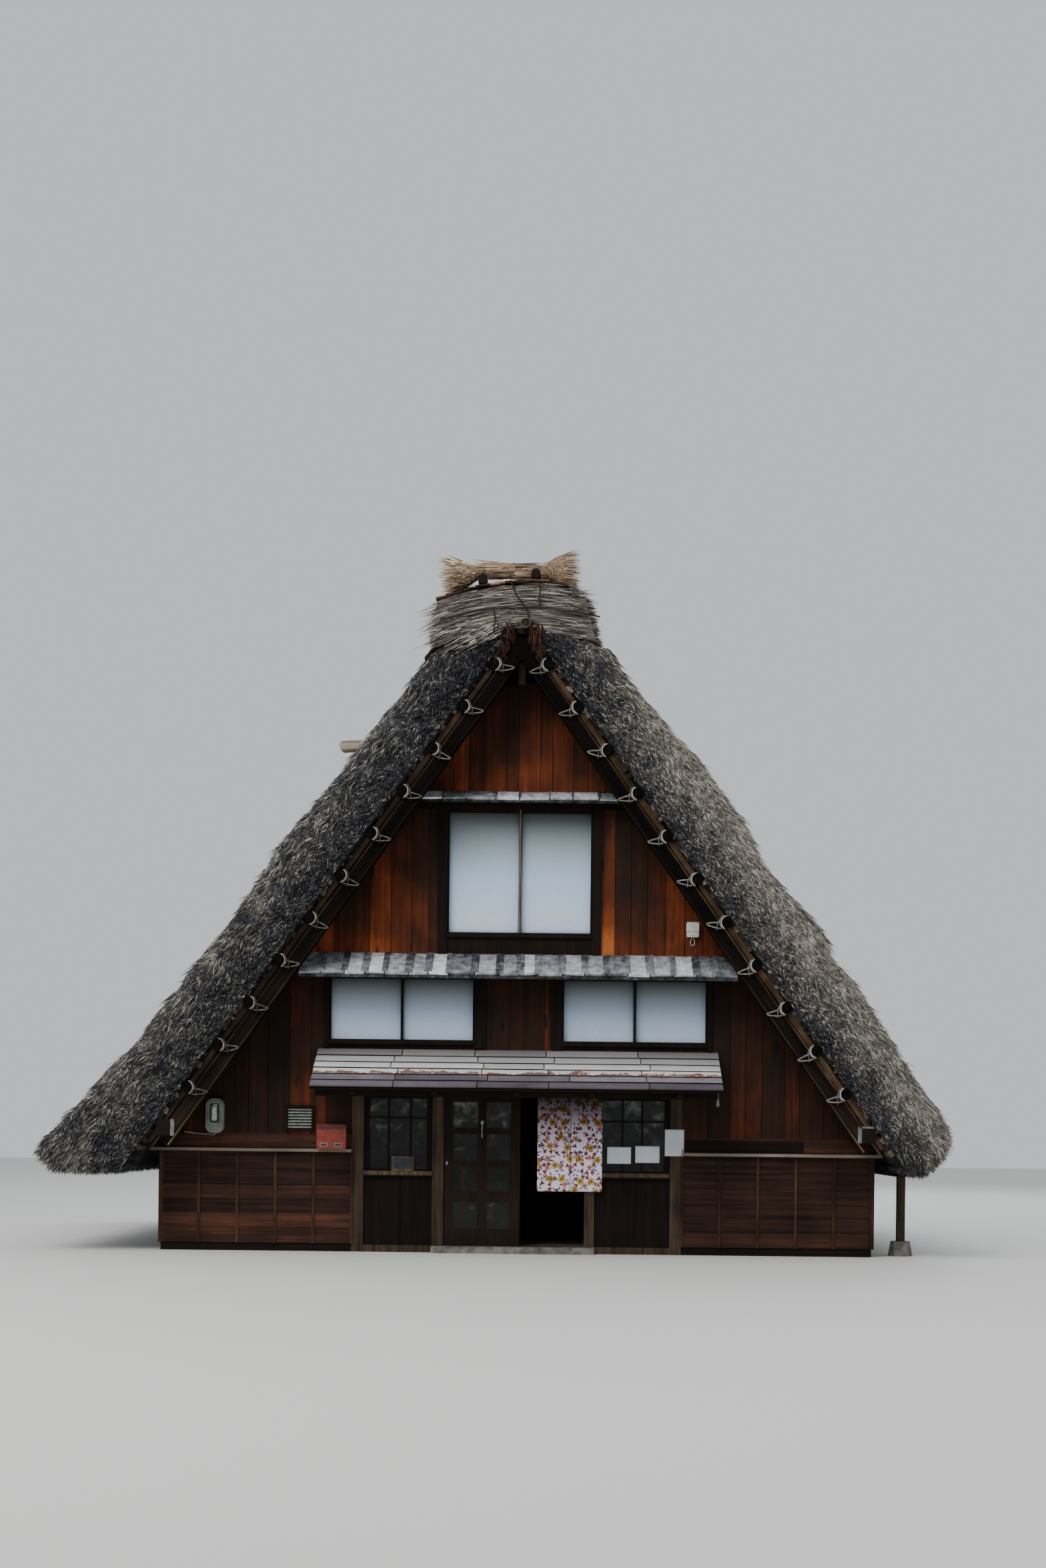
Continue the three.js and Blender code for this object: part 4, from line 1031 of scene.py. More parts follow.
# Ropes on the cover's face, in X and Z. The first two come over the top.
ROPE_GIRTH = 0.01
OVER_TOP = (0.20, -0.14)
COVER_ROPES = [
    [(0.20, 8.40), (0.225, 8.30), (0.215, 8.17), (0.235, 8.05)],
    [(-0.14, 8.38), (-0.07, 8.22), (0.05, 8.06)],
    [(0.06, 8.05), (0.085, 7.95), (0.08, 7.88)],
    [(-0.345, 8.01), (-0.33, 7.90), (-0.345, 7.79)],
]
# A dark rope across the face, on the line between two layers of reed, which also paints the shadow there
SHADOW_LINE_SPAN = np.linspace(-1.02, 0.97, 22)
# Strips of bark lie over the top, and reach this far past each step
BARK_ARCH = np.linspace(-1.04, 0.55, 14)
BARK_LAP, BARK_THICK = 0.03, 0.018


def cover_top(x):
    """The top of the ridge cover, with its crest a little to the right."""
    away = x - COVER_CREST[0]
    return COVER_CREST[1] - COVER_FALL["left" if away < 0 else "right"] * away * away


def run_along(name, outline, y0, y1, rows, moved):
    """A closed outline in X and Z, run along Y in steps. moved(x, y, z) roughens each point."""
    points = [moved(x, y, z) for y in np.linspace(y0, y1, rows + 1) for x, z in outline]
    count = len(outline)
    faces = [tuple(range(count)), tuple(range(rows * count, (rows + 1) * count))]
    for row in range(rows):
        for k in range(count):
            a, b = row * count + k, row * count + (k + 1) % count
            faces.append((a, b, b + count, a + count))
    return face_outwards(new_mesh(name, points, faces))


def make_ridge_cover():
    """The cover's body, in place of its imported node, and the reeds that lie along it."""
    ends = {word: [(SIDES[word] * x, z) for x, z in line] for word, line in COVER_ENDS.items()}
    arch = [(x, cover_top(x) - 0.03) for x in np.linspace(0.72, -0.92, 18)]
    under = [(-x, z) for x, z in (RIDGE_SEAT, COVER_HOLLOW)]
    outline = [COVER_HOLLOW, RIDGE_SEAT] + ends["right"] + arch + ends["left"][::-1] + under

    def roughened(x, y, z):
        """Lumps over the upper part."""
        if z < 7.9:
            return x, y, z
        rough = lumps((x, y, z), (3.0, 2.0, 3.0), 0.04)
        return x * (1 + rough), y, z + rough * 0.7

    mesh = run_along("ridge_cover_body", outline, VERGE_FRONT + 0.03, VERGE_BACK - 0.03, 80, roughened)
    tones = mesh.attributes.new("tone", "FLOAT", "POINT")
    tones.data.foreach_set("value", [0.3] * len(mesh.vertices))
    core = place_mesh("ridge_cover_body", mesh, "ridge", "ridge")
    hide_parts("ridge_cover")
    for word, side in SIDES.items():
        slant, droop = COVER_LIE[word]
        inner_end = COVER_ENDS[word][0][0] - COVER_REED

        def is_face(centre, normal):
            """The cover's faces, short of the ends."""
            shown = normal.z > -0.2 or abs(normal.y) > 0.5
            return -0.05 < side * centre.x < inner_end and shown and centre.z > COVER_LOWEST

        def is_end(centre, normal):
            """The last length of a reed towards one side."""
            shown = abs(normal.x) > 0.5 or normal.z > -0.2
            return side * centre.x > inner_end - 0.04 and shown and centre.z > COVER_LOWEST

        lay_straws(f"ridge_cover_{word}_reeds", bed_from(mesh, is_face), "ridge", "ridge", 40 + side,
                   (side, 0.0, slant), (0.0, 0.0, -droop * side), density=1250.0, length=COVER_REED,
                   girth=0.006, spread=0.07, lift=0.02, tuft=0.35)
        lay_straws(f"ridge_cover_{word}_ends", bed_from(mesh, is_end), "ridge", "ridge", 50 + side,
                   (side, 0.0, slant - droop), density=1300.0, length=0.10, girth=0.0075, spread=0.2,
                   lift=0.05, tuft=0.8)


def make_hanging_edge():
    """The thin fringe of reeds under the cover's left end, at both verges."""
    count = len(HANGING_EDGE)
    points = [(x, y, z) for y in (VERGE_FRONT - 0.02, VERGE_BACK + 0.02) for x, z in HANGING_EDGE]
    hang = new_mesh("hanging_edge", points, [tuple(range(count)), tuple(reversed(range(count, 2 * count)))])
    lay_straws("ridge_cover_hanging_edge", hang, "ridge", "ridge", 58, (-1.0, 0.0, -0.5), density=900.0,
               length=0.24, girth=0.0095, spread=0.1, lift=0.03)


def make_cover_ropes():
    """The ropes that hold the cover down, the same at both verges; the one across the face also paints a
    shadow line.
    """
    bound = Carpentry()
    across = [(x, 8.065 - 0.14 * (x - 0.07) ** 2 + 0.008 * sin(9 * x)) for x in SHADOW_LINE_SPAN]
    for line in COVER_ROPES + [across]:
        for side, y in VERGES.values():
            bound.tube([(x, y + side * 0.022, z) for x, z in line], ROPE_GIRTH)
    for x in OVER_TOP:
        reach = np.linspace(VERGE_FRONT - 0.02, VERGE_FRONT + 0.5, 7)
        top = [(x, y, cover_top(x) + 0.012) for y in reach]
        bound.tube(top, ROPE_GIRTH)
        bound.tube([(p, VERGE_FRONT + VERGE_BACK - q, r) for p, q, r in top], ROPE_GIRTH)
    bound.build("ridge_cover_ropes", "dark_rope", "log")


def make_ridge_bark():
    """Strips of bark along the top of the cover, and torn pieces that stick out at the left."""
    bark = Carpentry()
    for face, y in VERGES.values():
        for x0, x1 in zip(BARK_ARCH, BARK_ARCH[1:]):
            lift, out = RNG.uniform(-0.012, 0.006), RNG.uniform(0.0, 0.03)
            left, low = x0 - BARK_LAP, cover_top(x0) + lift
            right, high = x1 + BARK_LAP, cover_top(x1) + lift
            outline = [(left, low), (right, high), (right, high + BARK_THICK), (left, low + BARK_THICK)]
            bark.plate(outline, y + face * out, y - face * 0.3, RNG.random())
    for y in np.arange(VERGE_FRONT + 0.1, VERGE_BACK - 0.2, 0.31):
        tip = RNG.uniform(1.2, 1.3)
        outline = [(-1.04, 7.63), (-tip, 7.42 + RNG.uniform(-0.02, 0.02)), (-tip - 0.01, 7.46), (-1.05, 7.66)]
        width = RNG.uniform(0.15, 0.3)
        bark.plate(outline, y, y + width, RNG.random() * 0.8)
    bark.build("ridge_bark", "bark", "ridge")


make_ridge_cover()
make_hanging_edge()
make_cover_ropes()
make_ridge_bark()


# Straw bundles, tied at two necks over long poles, with the radius at each distance from the middle
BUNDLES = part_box("ridge_bundles")
BUNDLE_CENTRE = (BUNDLES[0].x + BUNDLES[1].x) / 2 - 0.06
BUNDLE_HEIGHT = 8.585
BUNDLE_NECK = 0.33
BUNDLE_COUNT, BUNDLE_INSET = 9, 0.24
BUNDLE_HALF = [
    (0.0, 0.092), (0.15, 0.09), (0.3, 0.068), (0.36, 0.066), (0.46, 0.112), (0.57, 0.165), (0.68, 0.205),
]
BUNDLE_DROOP = {"left": 0.075, "right": 0.0}
TIE_RING, TIE_GIRTH, TIE_GAP = 0.088, 0.009, 0.015
RIDGE_POLE_GIRTH, RIDGE_POLE_LIFT = 0.06, 0.085


def bundle_places():
    """Where the bundles lie along the ridge."""
    step = (VERGE_BACK - VERGE_FRONT - 2 * BUNDLE_INSET) / (BUNDLE_COUNT - 1)
    return [VERGE_FRONT + BUNDLE_INSET + i * step for i in range(BUNDLE_COUNT)]


def bundle_cores():
    """The bundles' bodies, each with its own sway and girth."""
    cores = Carpentry()
    stations = [(-x, r) for x, r in reversed(BUNDLE_HALF[1:])] + BUNDLE_HALF
    for number, y in enumerate(bundle_places()):
        path, girths = [], []
        for x, girth in stations:
            sway = noise.noise((x * 2.0, number * 3.7, 1.0)) * 0.03
            fall = BUNDLE_DROOP["left" if x < 0 else "right"] * (x / BUNDLE_HALF[-1][0]) ** 2
            path.append((BUNDLE_CENTRE + x, y + sway, BUNDLE_HEIGHT - fall + sway))
            girths.append(girth * (0.95 + 0.12 * RNG.random()))
        cores.tube(path, girths, sides=12, tone=0.3)
    return cores


def make_bundle_ties():
    """Two turns of rope round each neck of each bundle."""
    ties = Carpentry()
    height = BUNDLE_HEIGHT - 0.01
    for y in bundle_places():
        for side in (-1, 1):
            middle = BUNDLE_CENTRE + side * BUNDLE_NECK
            for shift in (-TIE_GAP, TIE_GAP):
                ring = [(middle + 0.004 * sin(3 * a) + shift, y + TIE_RING * cos(a),
                         height + TIE_RING * sin(a)) for a in RING]
                ties.tube(ring, TIE_GIRTH, closed=True)
    ties.build("bundle_ties", "rope", "log")


def make_ridge_poles():
    """Two long crooked poles under the bundles' necks."""
    poles = Carpentry()
    for side in (-1, 1):
        x = BUNDLE_CENTRE + side * BUNDLE_NECK
        z = cover_top(x) + RIDGE_POLE_LIFT
        reach = np.linspace(VERGE_FRONT - 0.03, VERGE_BACK + 0.03, 40)
        path = [(x + noise.noise((y, side, 0)) * 0.012, y, z) for y in reach]
        poles.tube(path, RIDGE_POLE_GIRTH, sides=10)
    poles.build("ridge_poles", "timber", "log")


def make_bundles():
    """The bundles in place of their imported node, with straws along them and wild ends."""
    core = bundle_cores().build("ridge_bundle_cores", "straw", "straw")
    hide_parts("ridge_bundles")

    def part(side, low, high):
        """The bundles' faces between two distances from the middle, towards one side."""
        return bed_from(core.data, lambda centre, _: low < side * (centre.x - BUNDLE_CENTRE) < high)

    for word, side in SIDES.items():
        lay_straws(f"ridge_bundle_{word}_straws", part(side, -0.02, 0.5), "straw", "straw", 60 + side,
                   (side, 0.0, 0.0), density=700.0, length=0.30, girth=0.0095, spread=0.08, lift=0.04)
        lay_straws(f"ridge_bundle_{word}_fans", part(side, 0.42, 1.0), "straw", "straw", 70 + side,
                   (side, 0.0, 0.0), density=1300.0, length=0.18, girth=0.008, spread=0.2, lift=0.2)


make_ridge_poles()
make_bundle_ties()
make_bundles()


# Purlin ends: withes wound round each log and the rafter, with a twisted loop towards the middle.
# A hoop has a width, height, girth, first and last angle and tone. The loop and its wrap are distances
# towards the middle, up and into the roof.
LOG_SETBACK = 0.02
LOG_END_RADIUS, LOG_END_HALF = 0.07, 0.012
HOOPS = ((0.070, 0.078, 0.0075, -1.5, 1.65, 0.95), (0.090, 0.092, 0.0055, -1.3, 0.9, 0.5))
LOOP = [
    (0.05, -0.02), (0.10, -0.028), (0.155, -0.042), (0.205, -0.058), (0.243, -0.076), (0.225, -0.088),
    (0.17, -0.096), (0.11, -0.100), (0.05, -0.094),
]
LOOP_WRAP = [(0.098, -0.122, 0.03), (0.10, -0.108, -0.004), (0.108, -0.04, -0.004), (0.10, 0.0, 0.03)]
LASHING_SWAY = 0.22


def purlin_places(side):
    """X and Z of every purlin's middle on one slope."""
    for i in range(PURLIN_COUNT):
        x = FIRST_PURLIN + i * PURLIN_SPACING * COS
        yield side * x, roof_height(x, PURLIN_RADIUS)


def lashing(side, face):
    """Drawn round the middle of a log's end, where face is -1 at the front."""
    tie = Carpentry()

    def at(inward, up, deep):
        """A point by its distances towards the middle, up and into the roof."""
        return (-side * inward, -face * deep, up)

    for wide, high, thick, start, end, tone in HOOPS:
        path = []
        for angle in np.linspace(start, end, 13):
            deep = -0.02 + 0.09 * (abs(angle) / 1.7) ** 5
            path.append(at(wide * cos(angle), high * sin(angle) - 0.004, deep))
        tie.tube(path, thick, tone=tone)
    tie.tube([at(u, v, 0.008) for u, v in LOOP], 0.0085, tone=0.55)
    tie.tube([at(*place) for place in LOOP_WRAP], 0.0075, tone=0.35)
    return tie


def make_lashings():
    """A lashing and a sawn round end for every purlin, at both gables."""
    cap = Carpentry()
    rim = [(LOG_END_RADIUS * cos(a), LOG_END_RADIUS * sin(a))
           for a in np.linspace(0, 2 * pi, 15)[:-1]]
    cap.plate(rim, -LOG_END_HALF, LOG_END_HALF)
    for word, side in SIDES.items():
        for face_word, (face, verge) in VERGES.items():
            places = [(x, verge - face * LOG_SETBACK, z) for x, z in purlin_places(side)]
            set_out(f"{face_word}_{word}_lashings", lashing(side, face), places, "rope", "log",
                    sway=LASHING_SWAY)
            set_out(f"{face_word}_{word}_log_ends", cap, places, "end_grain", "log")


# The reed mat starts this far from the middle, and hangs this deep between the logs
MAT_START, MAT_DEPTH = 0.14, 0.07


def make_reed_mats():
    """The broken edge of the reed mat, which shows between the logs at each verge."""
    for word, side in SIDES.items():
        work = Carpentry()
        down = Vector((side * COS, 0, -SIN))
        under = Vector((-side * SIN, 0, -COS))
        start = Vector((side * MAT_START, 0, roof_height(MAT_START)))
        length = (EAVE_INNER[word] - MAT_START) / COS
        for face, verge in VERGES.values():
            s = 0.0
            while s < length - 0.1:
                step = RNG.uniform(0.03, 0.09)
                corner = start + down * s
                middle = corner.x + down.x * step / 2
                from_log = min(abs(middle - x) for x, _ in purlin_places(side)) / COS
                thick = RNG.uniform(0.02, MAT_DEPTH) * (0.35 if from_log < 0.1 else 1.0)
                out = verge - face * RNG.uniform(0.03, 0.10)
                near = [
                    corner - under * 0.01, corner + down * (step + 0.01) - under * 0.01,
                    corner + down * step + under * thick, corner + under * thick * RNG.uniform(0.6, 1.0),
                ]
                work.plate([(p.x, p.z) for p in near], out, verge - face * 0.4, RNG.random())
                s += step
        work.build(f"reed_mat_{word}", "mat", "thatch")


# The outer rafters stand this far out from the walls, and reach this deep under the thatch
RAFTER_FACE, RAFTER_INNER = 0.69, 0.305
RAFTER_LENGTH, VERGE_POLE_LENGTH = 7.5, 7.9
VERGE_POLE = 0.075


def along_rafter(side, depth, y, end, wave):
    """Points down a slope at one depth under the thatch, with some wave."""
    path = []
    for s in np.linspace(0.3, end, 60):
        x = s * COS
        sway = noise.noise((s * 1.7, side + depth * 40, y)) * wave
        path.append((side * x, y, roof_height(x, depth) + sway))
    return path


def make_rafter_edges():
    """The lower corners of the outer rafters, in the lightest tone as a painted highlight."""
    edges = Carpentry()
    for side in (-1, 1):
        for y in (FRONT - RAFTER_FACE, BACK + RAFTER_FACE):
            edges.tube(along_rafter(side, RAFTER_INNER - 0.008, y, RAFTER_LENGTH, 0.006), 0.012, tone=1.0)
    edges.build("rafter_edges", "sloped", "log")


def make_verge_poles():
    """The lumpy pole from log to log under the thatch, and a thinner one."""
    poles = Carpentry()
    for side in (-1, 1):
        for face, verge in VERGES.values():
            path = along_rafter(side, VERGE_POLE, verge - face * 0.10, VERGE_POLE_LENGTH, 0.02)
            girths = [0.045 + 0.012 * noise.noise((p[0] * 5.0, p[2] * 5.0, face)) for p in path]
            poles.tube(path, girths, sides=8, tone=0.5)
            path = along_rafter(side, VERGE_POLE + 0.07, verge - face * 0.075, VERGE_POLE_LENGTH, 0.01)
            poles.tube(path, 0.017, tone=0.9)
    poles.build("verge_poles", "verge_pole", "log")


# The ridge pole's end in X and Z, and its radius. The short post stands between two heights.
POLE_MIDDLE, POLE_RADIUS = (0.05, 7.87), 0.058
APEX_POST_HALF, APEX_POST = 0.045, (7.27, 7.70)
# Loose straws at each apex: first long ones, dark as painted shade of the hollow, then tufts at the opening's
# edge, then lower ones
APEX_STRAWS, LONG_STRAWS, LOW_STRAWS_FROM = 380, 80, 210
APEX_STRAW_GIRTHS = [0.009, 0.007, 0.002]


def make_apex():
    """Loose straw, the ridge pole's end and a short post in the opening at the top of each gable."""
    straws, posts = Carpentry(), Carpentry()
    for (face, verge), wall in zip(VERGES.values(), (FRONT, BACK)):
        rim = [(POLE_MIDDLE[0] + POLE_RADIUS * cos(a), POLE_MIDDLE[1] + POLE_RADIUS * sin(a))
               for a in RING]
        posts.tube([(x, verge + face * 0.05, z) for x, z in rim], 0.009, closed=True, tone=0.6)
        posts.plate(rim, verge + face * 0.04, verge - face * 0.05, -0.6)
        near, far = sorted((wall, wall + face * 0.05))
        posts.box((-APEX_POST_HALF, near, APEX_POST[0]), (APEX_POST_HALF, far, APEX_POST[1]), 0.6)
        for k in range(APEX_STRAWS):
            long, low = k < LONG_STRAWS, k >= LOW_STRAWS_FROM
            if long:
                x = RNG.uniform(-0.17, 0.17)
            else:
                x = RNG.uniform(0.1, 0.3 if low else 0.27) * (-1, 1)[k % 2]
            z = APEX - 0.03 - 1.6 * x * x - RNG.uniform(0.0, 0.09)
            z -= 1.35 * (abs(x) - 0.1) * low
            y = verge + face * RNG.uniform(-0.16, -0.1 if long else 0.035)
            fall = RNG.uniform(0.3, 0.62) if long else RNG.uniform(0.08, 0.24) * (1.4 - 2.0 * abs(x))
            lean = RNG.uniform(-0.06, 0.06)
            path = [(x, y, z), (x + lean * 0.4, y, z - fall * 0.5), (x + lean, y, z - fall)]
            # The long straws take dark tones: painted shade in the hollow of the apex
            straws.tube(path, APEX_STRAW_GIRTHS, sides=3, tone=RNG.random() * (0.1 if long else 0.8))
    straws.build("apex_straw", "smoked_straw", "thatch")
    posts.build("apex_posts", "post", "timber")


make_lashings()
make_reed_mats()
make_rafter_edges()
make_verge_poles()
make_apex()


# Boards on the walls
SECOND_WINDOW = {"centre": 1.49, "half": 0.952, "bottom": 2.675, "top": 3.545}
ATTIC_WINDOW = {"centre": 0.0, "half": 0.95, "bottom": 4.055, "top": 5.685}
BAY_HALF, BAY_TOP = 2.11, 2.14
# Each storey of a gable: its bottom and top, its boards' width, and its fade above and below, which paints
# shade under the eaves and light lower down together with the sun's fading
STOREYS = ((1.50, 3.70, 0.235, 0.0, 0.3), (3.70, 5.80, 0.235, 0.05, 0.85), (5.80, 7.29, 0.22, 0.3, 0.75))
BOARD_SEAM = 0.004


def clipped(points, a, b, c):
    """The part of a polygon in X and Z where a x + b z is at most c."""
    kept = []
    for (x0, z0), (x1, z1) in zip(points, points[1:] + points[:1]):
        d0, d1 = a * x0 + b * z0 - c, a * x1 + b * z1 - c
        if d0 <= 0:
            kept.append((x0, z0))
        if (d0 < 0 < d1) or (d1 < 0 < d0):
            share = d0 / (d0 - d1)
            kept.append((x0 + (x1 - x0) * share, z0 + (z1 - z0) * share))
    return kept


def under_roof(points):
    """The part of a polygon that lies under both slopes."""
    slope = tan(PITCH)
    for side in (-1, 1):
        points = clipped(points, side * slope, 1.0, APEX - 0.01) if points else points
    return points


def board_edges(breaks, width):
    """Board edges of about one width, which fall on all the breaks."""
    edges = [breaks[0]]
    for low, high in zip(breaks, breaks[1:]):
        count = max(1, round((high - low) / width))
        cuts = [low + (high - low) * (k + RNG.uniform(-0.18, 0.18)) / count for k in range(1, count)]
        edges += cuts + [high]
    return edges


def window_hole(window, side):
    """A window's hole in a gable: its left, right, bottom and top."""
    middle = side * window["centre"]
    return (middle - window["half"], middle + window["half"], window["bottom"], window["top"])


HOLES = [window_hole(SECOND_WINDOW, -1), window_hole(SECOND_WINDOW, 1), window_hole(ATTIC_WINDOW, 1)]


def upright_boards(work, face, holes, storey):
    """Vertical boards over one storey of a gable, cut round its holes."""
    low, high, width, fade_light_top, fade_light_bottom = storey
    y_wall = FRONT if face < 0 else BACK
    reach = roof_reach(low)
    inside = [h for h in holes if h[2] < high and h[3] > low]
    breaks = sorted({-reach, reach} | {round(v, 4) for h in inside for v in h[:2]})
    edges = board_edges(breaks, width)
    for x0, x1 in zip(edges, edges[1:]):
        pieces = [(low, high)]
        for h in inside:
            if x0 >= h[0] - 0.01 and x1 <= h[1] + 0.01:
                below = [(a, min(b, h[2])) for a, b in pieces if a < h[2]]
                pieces = below + [(max(a, h[3]), b) for a, b in pieces if b > h[3]]
        tone, proud = RNG.random(), RNG.uniform(0.008, 0.013)
        left, right = x0 + BOARD_SEAM, x1 - BOARD_SEAM
        for bottom, top in pieces:
            outline = under_roof([(left, bottom), (right, bottom), (right, top), (left, top)])
            if len(outline) < 3:
                continue
            # Painted shade under the eaves and painted light lower down, with the sun's fading
            fades_and_light = [fade_light_top + (fade_light_bottom - fade_light_top) * (high - z) / (high - low) for _, z in outline]
            work.plate(outline, y_wall + face * proud, y_wall - face * 0.002, tone, fades_and_light)


def make_gable_boards():
    """The boards of both gables, with the entrance bay cut out of the front one."""
    for face_word, (face, _) in VERGES.items():
        bay = [(-BAY_HALF, BAY_HALF, 0.0, BAY_TOP)] if face < 0 else []
        work = Carpentry()
        for storey in STOREYS:
            upright_boards(work, face, HOLES + bay, storey)
        work.build(f"{face_word}_gable_boards", "boards", "boards")


# The low walls: siding in rows, then one plank, which is wider on the side walls, and battens over them
WAINSCOT_ROWS = [0.10, 0.30, 0.49, 0.66, 0.85, 1.05, 1.265]
GABLE_PLANK, SIDE_PLANK = [1.315, 1.50], [1.27, 1.50]
SIDING_LENGTH, SIDING_LAP = 1.9, 0.006
BATTEN_PITCH, BATTEN_MIDDLE, BATTEN_HALF = 0.505, 0.68, 0.58
BATTEN_SECTION = (0.017, 0.03)
# For each wall the point at a place along it, a distance out and a height, and its runs of boards
WALLS = {
    "front": (lambda x, out, z: (x, FRONT - out, z), [(-HALF, -BAY_HALF), (BAY_HALF, HALF)]),
    "back": (lambda x, out, z: (x, BACK + out, z), [(-HALF, HALF)]),
    "left": (lambda x, out, z: (-HALF - out, x, z), [(FRONT, BACK)]),
    "right": (lambda x, out, z: (HALF + out, x, z), [(FRONT, BACK)]),
}


def flat_boards(work, x0, x1, rows, place):
    """Horizontal boards between two ends, each with its lower edge a little prouder."""
    for low, high in zip(rows, rows[1:]):
        cuts = board_edges([x0, x1], SIDING_LENGTH)
        bottom = low + BOARD_SEAM
        for a, b in zip(cuts, cuts[1:]):
            proud = RNG.uniform(0.008, 0.014)
            left, right = a + BOARD_SEAM / 2, b - BOARD_SEAM / 2
            corners = [(left, bottom), (right, bottom), (right, high), (left, high)]
            near = [place(x, proud + (SIDING_LAP if z == bottom else 0.0), z) for x, z in corners]
            far = [place(x, -0.002, z) for x, z in corners]
            work.prism(near, far, RNG.random(), [0.3] * 4)


def make_wainscot():
    """The siding and the battens of all four walls."""
    for word, (place, runs) in WALLS.items():
        along_gable = word in VERGES
        work = Carpentry()
        places = []
        for x0, x1 in runs:
            flat_boards(work, x0, x1, WAINSCOT_ROWS, place)
            flat_boards(work, x0, x1, GABLE_PLANK if along_gable else SIDE_PLANK, place)
            count = round((x1 - x0) / BATTEN_PITCH)
            places += [place(x0 + (x1 - x0) * k / count, 0.0, BATTEN_MIDDLE) for k in range(count + 1)]
        work.build(f"{word}_wainscot", "flat_boards", "dark_boards")
        wide, deep = BATTEN_SECTION if along_gable else BATTEN_SECTION[::-1]
        upright = Carpentry()
        upright.box((-wide, -deep, -BATTEN_HALF), (wide, deep, BATTEN_HALF))
        set_out(f"{word}_battens", upright, places, "batten", "timber")


make_gable_boards()
make_wainscot()


# Sloping board roofs. A pent roof has half a length, a height at the wall, a depth and a drop, and widths
# of its boards and of the strips over their joints.
PENT_ROOFS = {
    "pent_roof_lower_boards": (2.76, 3.80, 0.50, 0.285, 0.28, 0.09),
    "pent_roof_upper_boards": (1.29, 5.88, 0.25, 0.12, 0.34, 0.035),
}
PENT_BOARD, PENT_STRIP, PENT_SEAM = 0.022, 0.016, 0.008
CANOPY_DEPTH, CANOPY_DROP = 0.9, 0.487
# The canopy's rows of boards, by distance down its slope, and how worn each is
CANOPY_ROWS = [0.0, 0.19, 0.37, 0.54, 0.70, 0.87, 1.035]
CANOPY_TONES = [0.2, 0.5, 0.62, 0.6, 0.45, 0.32]
CANOPY_BOARD_LENGTH, CANOPY_LAP, CANOPY_SEAM = 1.05, 0.02, 0.006


def slope_frame(top, depth, drop):
    """A function from distances down the slope and off it to Y and Z, and the slope's length."""
    length = hypot(depth, drop)
    along, fall = depth / length, drop / length

    def where(s, lift):
        """Y and Z."""
        return FRONT - s * along - lift * fall, top - s * fall + lift * along

    return where, length


def make_pent_roof(name, half, top, depth, drop, width, strip):
    """Boards that run down the slope, with a narrow strip over each joint."""
    where, length = slope_frame(top, depth, drop)
    work = Carpentry()
    edges = board_edges([-half, half], width)

    def board(x0, x1, low, high, end, slant, tone):
        """One board between two heights off the slope, a little askew at its lower end."""
        outline = [(x0, 0.0), (x1, 0.0), (x1, end + slant), (x0, end - slant)]
        near, far = ([(x, *where(s, lift)) for x, s in outline] for lift in (low, high))
        work.prism(near, far, tone, [0.0, 0.0, 1.0, 1.0])

    for x0, x1 in zip(edges, edges[1:]):
        lift = RNG.uniform(0.0, 0.008)
        board(x0 + PENT_SEAM, x1 - PENT_SEAM, 0.0, lift + PENT_BOARD, length + RNG.uniform(-0.035, 0.012),
              RNG.uniform(-0.012, 0.012), RNG.uniform(0.25, 1.0))
    for x in edges[1:-1]:
        wide = strip * RNG.uniform(0.35, 0.6)
        board(x - wide, x + wide, PENT_BOARD, PENT_BOARD + PENT_STRIP, length + RNG.uniform(-0.05, 0.02),
              0.0, RNG.uniform(0.0, 0.35))
    work.build(name, "shingle", "grey_boards")


def make_canopy_boards():
    """Rows of lapped boards, each worn in its own way, with dark strips where they lap as painted shadow."""
    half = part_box("canopy_roof")[1].x
    where, _ = slope_frame(CANOPY_WALL, CANOPY_DEPTH, CANOPY_DROP)
    work, ends = Carpentry(), Carpentry()

    def face(a, b, start, end, ragged, upper, lower):
        """A board's face between two places across and two down, with the lift at both."""
        return [(a, *where(start, upper)), (b, *where(start, upper)), (b, *where(end, lower)),
                (a, *where(end + ragged, lower))]

    for row, (s0, s1) in enumerate(zip(CANOPY_ROWS, CANOPY_ROWS[1:])):
        last = row == len(CANOPY_TONES) - 1
        edges = board_edges([-half, half], CANOPY_BOARD_LENGTH)
        for x0, x1 in zip(edges, edges[1:]):
            ragged = RNG.uniform(-0.008, 0.008)
            a, b = x0 + CANOPY_SEAM, x1 - CANOPY_SEAM
            lift = 0.02 + RNG.uniform(0, 0.005)
            near = face(a, b, s0, s1 + CANOPY_LAP, ragged, 0.0, 0.004)
            far = face(a, b, s0, s1 + CANOPY_LAP, ragged, 0.006, lift)
            work.prism(near, far, CANOPY_TONES[row] + RNG.uniform(-1, 1) * (0.12 if last else 0.22))
            # Painted shadow: a dark strip on the butt of each lap
            if not last:
                s = s1 + 0.019
                near = face(a, b, s, s + 0.006, ragged, 0.002, 0.002)
                ends.prism(near, face(a, b, s, s + 0.005, ragged, lift - 0.003, lift - 0.003))
    work.build("canopy_boards", "canopy", "canopy_boards")
    ends.build("canopy_board_ends", "end_grain", "canopy_boards")


for roof, sizes in PENT_ROOFS.items():
    make_pent_roof(roof, *sizes)
make_canopy_boards()


